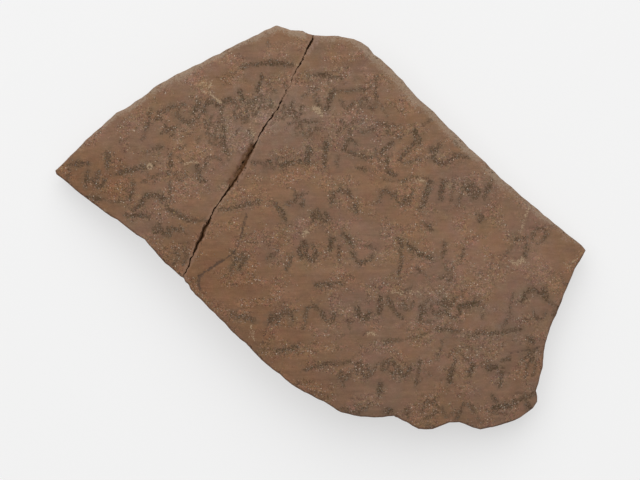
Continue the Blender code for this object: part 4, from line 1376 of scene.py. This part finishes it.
class NodeTable:
    """Adds and joins the nodes of one finish, measured in millimetres."""

    def __init__(self, name: str) -> None:
        """Starts a material whose patterns lie still on the clay.

        Args:
            name: The material's name.
        """
        self.material = bpy.data.materials.new(name)
        self.material.use_nodes = True
        self.shader = self.material.node_tree.nodes["Principled BSDF"]
        place = self._node("TexCoord", {}).outputs["Object"]
        size = self._node("VectorMath", {0: place, "Scale": 1 / MM}, operation="SCALE")
        self.place = size.outputs[0]

    def _node(
        self, kind: str, inputs: dict[int | str, object], **settings: str
    ) -> bpy.types.Node:
        """Adds a node to the finish."""
        return add_node(self.material.node_tree, kind, inputs, **settings)

    def cloud(
        self,
        size: float,
        stretch: Place = (1.0, 1.0, 1.0),
        detail: float = 2.0,
        rough: float = 0.5,
        shift: float = 0.0,
    ) -> bpy.types.NodeSocket:
        """Cloudy noise.

        Args:
            size: Size of one cloud in millimetres.
            stretch: How much longer it is along X, Y and Z.
            detail: How many finer layers it has.
            rough: How strong those are.
            shift: Moves the pattern, in millimetres.

        Returns:
            A value around 0.5.
        """
        placed = {
            "Vector": self.place,
            "Location": (shift, shift * 0.7, shift * 0.4),
            "Rotation": (0.0, 0.0, -LINE_RISE),
            "Scale": tuple(1 / s for s in stretch),
        }
        place = self._node("Mapping", placed).outputs["Vector"]
        noisy = {"Vector": place, "Scale": 1 / size, "Detail": detail, "Roughness": rough}
        return self._node("TexNoise", noisy).outputs["Fac"]

    def grit(self, cell: float, radius: float, keep: float, shift: float) -> bpy.types.NodeSocket:
        """Scattered round grains.

        Args:
            cell: Mean distance between places for a grain, in millimetres.
            radius: Radius of a grain in millimetres.
            keep: Share of the places that hold one.
            shift: Moves the pattern, in millimetres.

        Returns:
            1 on a grain and 0 beside it.
        """
        placed = {"Vector": self.place, "Location": (shift, shift, shift)}
        place = self._node("Mapping", placed).outputs["Vector"]
        cells = self._node("TexVoronoi", {"Vector": place, "Scale": 1 / cell})
        grain = self.level(cells.outputs["Distance"], radius * 0.6 / cell, radius * 1.3 / cell, 1, 0)
        chance = self._node("SeparateColor", {"Color": cells.outputs["Color"]}).outputs[0]
        return self.times(grain, self.level(chance, 1 - keep - 0.01, 1 - keep + 0.01))

    def layer(self, layer: Layer) -> bpy.types.NodeSocket:
        """Reads one of the layers stored in the clay."""
        stored = {"attribute_type": "GEOMETRY", "attribute_name": layer.value}
        return self._node("Attribute", {}, **stored).outputs["Fac"]

    def level(
        self, value: object, low: float, high: float, to_low: float = 0.0, to_high: float = 1.0
    ) -> bpy.types.NodeSocket:
        """Turns one range of values into another, with soft ends.

        Args:
            value: A number or a socket.
            low: Where the range starts.
            high: Where it ends.
            to_low: What its start becomes.
            to_high: What its end becomes.

        Returns:
            The value in its new range.
        """
        ends = {"From Min": low, "From Max": high, "To Min": to_low, "To Max": to_high}
        ends["Value"] = value
        return self._node("MapRange", ends, interpolation_type="SMOOTHSTEP").outputs["Result"]

    def _reckon(self, how: str, values: Sequence[object]) -> bpy.types.NodeSocket:
        """Joins values one after the other.

        Args:
            how: The way of the math node.
            values: Numbers and sockets.

        Returns:
            The result.
        """
        result = values[0]
        for value in values[1:]:
            result = self._node("Math", {0: result, 1: value}, operation=how).outputs[0]
        return result

    def add(self, *values: object) -> bpy.types.NodeSocket:
        """Adds values up."""
        return self._reckon("ADD", values)

    def times(self, *values: object) -> bpy.types.NodeSocket:
        """Multiplies values."""
        return self._reckon("MULTIPLY", values)

    def around(self, value: object, amount: float) -> bpy.types.NodeSocket:
        """How far a value is from the middle of its range, times an amount."""
        return self.times(self._reckon("SUBTRACT", (value, 0.5)), amount)

    def blend(self, share: object, under: object, over: object) -> bpy.types.NodeSocket:
        """Lays one colour over another, by a share from 0 to 1."""
        colours = {0: share, 6: under, 7: over}
        return self._node("Mix", colours, data_type="RGBA", blend_type="MIX").outputs[2]

    def tinted(
        self, colour: object, size: float, amount: float, shift: float
    ) -> bpy.types.NodeSocket:
        """Lets red, green and blue wander each by itself.

        Args:
            colour: The colour before.
            size: Size of one spot of colour in millimetres.
            amount: How far each part wanders.
            shift: Moves the pattern, in millimetres.

        Returns:
            The colour after.
        """
        spots = self.cloud(size, shift=shift).node.outputs["Color"]
        wander = {0: spots, 1: (amount,) * 3, 2: (1 - amount / 2,) * 3}
        drift = self._node("VectorMath", wander, operation="MULTIPLY_ADD").outputs[0]
        return self._node("VectorMath", {0: colour, 1: drift}, operation="MULTIPLY").outputs[0]

    def shade(self, colour: object, tone: object) -> bpy.types.NodeSocket:
        """A colour times a tone."""
        shaded = {0: colour, "Scale": tone}
        return self._node("VectorMath", shaded, operation="SCALE").outputs[0]

    def relief(self, height: object, depth: float, below: object = None) -> bpy.types.NodeSocket:
        """Turns a height into bumps.

        Args:
            height: A value from 0 to 1.
            depth: How deep the bumps are, in millimetres.
            below: Bumps that these lie on.

        Returns:
            The way that the surface faces.
        """
        bumps = {"Strength": 1.0, "Distance": depth * MM, "Height": height}
        if below is not None:
            bumps["Normal"] = below
        return self._node("Bump", bumps).outputs["Normal"]


@dataclass(frozen=True)
class ClayFinish:
    """Brown fired clay with grit, worn ink, scuffed rims with painted highlight and shade, painted
    shade in the join and a rougher broken edge.
    """

    warm: Colour = (0.211, 0.115, 0.064)
    cool: Colour = (0.201, 0.115, 0.074)
    # Darker, warmer tone of the skin patches.
    tan: Colour = (0.214, 0.109, 0.056)
    dust: Colour = (0.245, 0.190, 0.150)
    ink: Colour = (0.074, 0.043, 0.023)
    bare_grit: Colour = (0.220, 0.200, 0.170)
    smudge: Colour = (0.128, 0.087, 0.054)
    fine_grit: Colour = (0.32, 0.255, 0.20)
    pale_grit: Colour = (0.47, 0.385, 0.30)
    straw_grit: Colour = (0.38, 0.26, 0.12)
    dark_grit: Colour = (0.085, 0.048, 0.036)
    scuff: Colour = (0.37, 0.265, 0.165)
    flake: Colour = (0.275, 0.178, 0.132)
    stain: Colour = (0.066, 0.043, 0.031)
    # Worn rim with a painted highlight.
    worn_rim_and_highlight: Colour = (0.300, 0.222, 0.158)
    # Painted shade of the lower rims.
    painted_shade_rim: Colour = (0.090, 0.062, 0.040)
    lip: Colour = (0.258, 0.152, 0.100)
    # Dirt and painted shade of the join.
    dirt: Colour = (0.096, 0.045, 0.017)
    # Painted shade deep in the narrow clefts of the join.
    cleft: Colour = (0.112, 0.044, 0.013)
    broken: Colour = (0.180, 0.094, 0.055)
    core: Colour = (0.120, 0.078, 0.056)
    back: Colour = (0.178, 0.108, 0.070)
    roughness: float = 0.9
    specular: float = 0.25

    def make(self) -> bpy.types.Material:
        """Builds the material.

        Returns:
            One material for every side of both fragments.
        """
        table = NodeTable("fired_clay_looks")
        grain = table.cloud(0.5, detail=3.0, rough=0.6, shift=5.0)
        fine = table.cloud(0.24, detail=2.0, rough=0.6, shift=9.0)
        patches = table.cloud(5.0, (1.5, 1.0, 1.0), 4.0, 0.6, 71.0)
        patches = table.add(patches, table.times(table.layer(Layer.SMUDGE), 0.07))
        coarse = table.level(patches, 0.44, 0.59)
        clay = self._skin(table, grain, fine, coarse)
        clay = self._inked(table, clay, grain, fine)
        clay = self._specked(table, clay, coarse)
        clay = self._broken(table, clay, grain)
        clay = self._worn_and_shaded(table, clay)
        matt = table.level(grain, 0.2, 0.8, self.roughness + 0.06, self.roughness - 0.1)
        dressed = {
            "Base Color": clay,
            "Specular IOR Level": self.specular,
            "Roughness": matt,
            "Normal": table.relief(fine, 0.03, table.relief(grain, 0.05)),
        }
        fill(table.shader, dressed)
        return table.material

    def _skin(
        self, table: NodeTable, grain: object, fine: object, coarse: object
    ) -> bpy.types.NodeSocket:
        """The plain clay: drifts of hue, wheel streaks, smooth places and grainy ones.

        Args:
            table: The nodes.
            grain: The grain of the clay.
            fine: Its finer grain.
            coarse: 1 where the clay is coarse and 0 where it is smooth.

        Returns:
            The colour of the bare skin.
        """
        hue = table.level(table.cloud(17.0, detail=4.0, rough=0.6), 0.38, 0.62)
        colour = table.blend(hue, self.warm, self.cool)
        colour = table.blend(table.level(table.layer(Layer.TAN), 0.0, 1.0), colour, self.tan)
        powder = table.add(
            table.layer(Layer.DUST),
            table.around(table.cloud(2.8, detail=4.0, rough=0.65, shift=57.0), 1.8),
            table.around(fine, 1.6),
        )
        colour = table.blend(table.level(powder, 0.1, 1.3, 0.0, 0.36), colour, self.dust)
        colour = table.tinted(colour, 3.4, 0.18, 61.0)
        motley = table.level(coarse, 0.0, 1.0, 0.15, 1.0)
        colour = table.blend(motley, colour, table.tinted(colour, 0.7, 0.36, 67.0))
        rough = table.add(
            table.around(grain, 0.9),
            table.around(fine, 1.6),
            table.around(table.cloud(1.1, detail=3.0, shift=73.0), 0.55),
        )
        grainy = table.times(rough, table.level(coarse, 0.0, 1.0, 0.22, 1.5))
        tone = table.add(
            1.0,
            table.around(table.cloud(9.0, (1.4, 1.0, 1.0), 3.0, 0.55, 13.0), 0.42),
            table.around(table.cloud(3.6, (1.4, 1.0, 1.0), 2.0, 0.55, 19.0), 0.35),
            table.around(table.cloud(1.3, (14.0, 1.0, 1.0), 2.0, 0.5, 17.0), 0.24),
            table.around(table.cloud(0.45, (9.0, 1.0, 1.0), 2.0, 0.5, 23.0), 0.34),
            grainy,
            table.times(table.layer(Layer.TAN), -0.12),
        )
        return table.shade(colour, tone)

    def _inked(
        self, table: NodeTable, clay: object, grain: object, fine: object
    ) -> bpy.types.NodeSocket:
        """Carbon ink, rubbed thin over the grain, in a haze of what has spread.

        Args:
            table: The nodes.
            clay: The colour of the skin.
            grain: The grain of the clay.
            fine: Its finer grain.

        Returns:
            The colour with the writing on it.
        """
        rubbed = table.cloud(1.1, detail=4.0, rough=0.65, shift=29.0)
        haze = table.add(table.layer(Layer.SMUDGE), table.around(rubbed, 1.6))
        clay = table.blend(table.level(haze, 0.1, 0.9, 0.0, 0.5), clay, self.smudge)
        edge = table.add(
            table.layer(Layer.INK),
            table.around(grain, -2.2),
            table.around(fine, -2.2),
            table.around(rubbed, 1.1),
        )
        cover = table.level(edge, 0.3, 0.7)
        patchy = table.level(table.cloud(3.0, detail=3.0, shift=31.0), 0.35, 0.65, 0.66, 1.0)
        weight = table.times(table.layer(Layer.INK_WEIGHT), patchy)
        crumbled = table.cloud(0.42, detail=3.0, rough=0.7, shift=33.0)
        grains = table.level(crumbled, 0.4, 0.59, 1.4, 0.3)
        share = table.times(table.times(cover, weight), grains)
        inked = table.blend(share, clay, table.tinted(self.ink, 0.6, 0.7, 35.0))
        bare = table.times(table.grit(0.46, 0.13, 0.5, 43.0), cover, 0.6)
        return table.blend(bare, inked, self.bare_grit)

    def _specked(self, table: NodeTable, clay: object, coarse: object) -> bpy.types.NodeSocket:
        """Pale, straw-coloured and dark grains, most of them where the clay is coarse.

        Args:
            table: The nodes.
            clay: The colour before.
            coarse: 1 where the clay is coarse and 0 where it is smooth.

        Returns:
            The colour with its grains.
        """
        swarm = table.level(coarse, 0.0, 1.0, 0.08, 1.0)
        for cell, radius, keep, shift, colour in (
            (0.5, 0.12, 0.36, 3.0, self.fine_grit),
            (0.9, 0.14, 0.30, 5.0, self.pale_grit),
            (1.4, 0.16, 0.14, 7.0, self.straw_grit),
            (0.9, 0.15, 0.40, 11.0, self.dark_grit),
        ):
            grain = table.times(table.grit(cell, radius, keep, shift), swarm)
            clay = table.blend(grain, clay, colour)
        return clay

    def _worn_and_shaded(self, table: NodeTable, clay: object) -> bpy.types.NodeSocket:
        """Scratches, stains, lips of the join, pale rims that are wear with a painted highlight,
        dark rims of painted shade, and dirt and painted shade in the join.

        Args:
            table: The nodes.
            clay: The colour before.

        Returns:
            The colour with its wear.
        """
        breakup = table.cloud(0.7, detail=3.0, rough=0.6, shift=37.0)
        specks = table.cloud(0.34, detail=1.0, shift=39.0)
        # The pale and dark rims, the dirt and the cleft paint highlight and shade as well as wear.
        for layer, colour, most, specked, soft in (
            (Layer.RIM_PALE, self.worn_rim_and_highlight, 0.75, 1.8, 1.0),
            (Layer.RIM_DARK, self.painted_shade_rim, 0.75, 0.3, 0.5),
            (Layer.LIP, self.lip, 0.5, 0.5, 0.5),
            (Layer.DIRT, self.dirt, 0.9, 0.4, 0.5),
            (Layer.CLEFT, self.cleft, 0.95, 0.2, 0.5),
            (Layer.FLAKE, self.flake, 0.75, 1.2, 0.5),
            (Layer.STAIN, self.stain, 0.8, 0.6, 0.5),
            (Layer.SCUFF, self.scuff, 0.8, 2.6, 0.5),
        ):
            broken_up = (table.around(breakup, 0.9), table.around(specks, specked))
            edge = table.add(table.layer(layer), *broken_up)
            share = table.level(edge, 0.55 - soft / 2, 0.55 + soft / 2, 0.0, most)
            present = table.level(table.layer(layer), 0.0, 0.15)
            clay = table.blend(table.times(share, present), clay, colour)
        return clay

    def _broken(self, table: NodeTable, clay: object, grain: object) -> bpy.types.NodeSocket:
        """The open fabric of the break, with its duller core, and the plain back.

        Args:
            table: The nodes.
            clay: The colour of the written face.
            grain: The grain of the clay.

        Returns:
            The colour of every side.
        """
        lumps = table.cloud(1.0, detail=4.0, rough=0.65, shift=41.0)
        drift = table.around(table.cloud(6.0, (1.0, 1.0, 0.4), 3.0, 0.5, 43.0), 2.0)
        core = table.level(table.add(table.layer(Layer.CORE), drift), 0.25, 0.85, 0.0, 0.8)
        fabric = table.tinted(table.blend(core, self.broken, self.core), 1.2, 0.4, 45.0)
        tone = table.add(1.0, table.around(lumps, 1.1), table.around(grain, 0.9))
        fabric = table.shade(fabric, tone)
        fabric = table.blend(table.grit(1.5, 0.17, 0.3, 47.0), fabric, self.pale_grit)
        fabric = table.blend(table.grit(1.9, 0.42, 0.4, 49.0), fabric, self.dark_grit)
        clay = table.blend(table.level(table.layer(Layer.BROKEN), 0.35, 0.85), clay, fabric)
        plain = table.shade(self.back, table.add(1.0, table.around(lumps, 0.35)))
        hidden = table.level(table.layer(Layer.HIDDEN), 0.3, 0.9, 0.0, 0.7)
        return table.blend(hidden, clay, plain)


@dataclass
class Studio:
    """A pale table lit softly from within, light from the top edge and a camera above.

    Attributes:
        table_side: Side of the square table in metres.
        table_tone: Colour of the table.
        table_glow: How strongly it glows near the sherd.
        far_glow: How strongly it glows far away.
        glow_reach: Distances in metres between which the glow grows.
        sight: The point of the table under the camera, in metres.
        view_width: Width of the view at the height of the rim, in metres.
        rim_height: That height in metres.
        lens: Focal length in millimetres.
        sensor: Sensor width in millimetres.
        sky_strength: Strength of the light from all round.
        room_tone: How bright the room looks behind the table.
        key_place: Where the lamp is, in metres.
        key_size: Side of the lamp in metres.
        key_power: Its power in watts.
    """

    table_side: float = 8.0
    table_tone: Colour = (0.31, 0.31, 0.31)
    table_glow: float = 0.58
    far_glow: float = 0.77
    glow_reach: Point = (0.8, 3.2)
    sight: Point = (-0.13 * MM, -3.12 * MM)
    view_width: float = 166.4 * MM
    rim_height: float = 11.0 * MM
    lens: float = 250.0
    sensor: float = 36.0
    sky_strength: float = 0.25
    room_tone: float = 0.86
    key_place: Place = (-0.12, 0.85, 1.25)
    key_size: float = 2.2
    key_power: float = 35.0

    def build(self) -> None:
        """Sets up the table, the light and the camera."""
        self._table()
        self._sky()
        self._key()
        self._camera()

    def _table(self) -> None:
        """Makes a flat pale table, cut into a grid, that glows from within so that shadows on it
        stay faint.
        """
        bpy.ops.object.select_all(action="DESELECT")
        bpy.ops.mesh.primitive_grid_add(
            x_subdivisions=8, y_subdivisions=8, size=self.table_side, location=(0, 0, 0)
        )
        table = bpy.context.active_object
        table.name = "table_top"
        finish = bpy.data.materials.new("glowing_card")
        finish.use_nodes = True
        tree = finish.node_tree
        place = add_node(tree, "TexCoord", {}).outputs["Object"]
        away = add_node(tree, "VectorMath", {0: place}, operation="LENGTH").outputs["Value"]
        near, far = self.glow_reach
        ends = {"From Min": near, "From Max": far, "To Min": self.table_glow}
        glow = add_node(tree, "MapRange", ends | {"To Max": self.far_glow, "Value": away})
        card = {
            "Base Color": self.table_tone,
            "Roughness": 0.9,
            "Specular IOR Level": 0.1,
            "Emission Color": (1.0, 1.0, 1.0),
            "Emission Strength": glow.outputs["Result"],
        }
        fill(tree.nodes["Principled BSDF"], card)
        table.data.materials.append(finish)

    def _sky(self) -> None:
        """Makes even white light from all round, and the tone that the camera sees."""
        world = bpy.data.worlds.new("soft_room")
        world.use_nodes = True
        tree = world.node_tree
        light = tree.nodes["Background"]
        fill(light, {"Color": (1.0, 1.0, 1.0), "Strength": self.sky_strength})
        wall = add_node(tree, "Background", {"Color": (1.0, 1.0, 1.0), "Strength": self.room_tone})
        seen = add_node(tree, "LightPath", {}).outputs["Is Camera Ray"]
        both = add_node(tree, "MixShader", {0: seen, 1: light.outputs[0], 2: wall.outputs[0]})
        fill(tree.nodes["World Output"], {"Surface": both.outputs[0]})
        bpy.context.scene.world = world

    def _key(self) -> None:
        """Hangs a broad soft lamp beyond the top edge."""
        lamp = bpy.data.lights.new("window_light", "AREA")
        lamp.shape = "SQUARE"
        lamp.size = self.key_size
        lamp.energy = self.key_power
        key = bpy.data.objects.new("window_light", lamp)
        key.location = self.key_place
        key.rotation_euler = (-Vector(self.key_place)).to_track_quat("-Z", "Y").to_euler()
        bpy.context.scene.collection.objects.link(key)

    def _camera(self) -> None:
        """Points a long lens straight down."""
        scene = bpy.context.scene
        scene.view_settings.view_transform = "Standard"
        optics = bpy.data.cameras.new("overhead_camera")
        optics.lens = self.lens
        optics.sensor_width = self.sensor
        optics.clip_start = 0.01
        optics.clip_end = 100.0
        camera = bpy.data.objects.new("overhead_camera", optics)
        height = self.rim_height + self.view_width * self.lens / self.sensor
        camera.location = (*self.sight, height)
        scene.collection.objects.link(camera)
        scene.camera = camera


def clear_scene() -> None:
    """Removes whatever the scene starts with."""
    for thing in list(bpy.data.objects):
        bpy.data.objects.remove(thing)


def main() -> None:
    """Builds both fragments, dresses them and sets up the studio."""
    logging.basicConfig(level=logging.INFO, format="%(name)s: %(message)s")
    clear_scene()
    noise.seed_set(HAND_SEED)
    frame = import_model()
    finish = ClayFinish().make()
    fragments = (
        Fragment("main_fragment", "main_sherd", "left_fragment"),
        Fragment("left_fragment", "left_sherd", "main_fragment", lead=1.0),
    )
    for fragment in fragments:
        piece = fragment.build(frame["nodes"])
        piece.data.materials.append(finish)
        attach(piece, BODY)
        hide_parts(fragment.node)
        log.info("%s: %d faces", piece.name, len(piece.data.polygons))
    Studio().build()
    log.info("studio: table, light and camera")


if __name__ == "__main__":
    main()
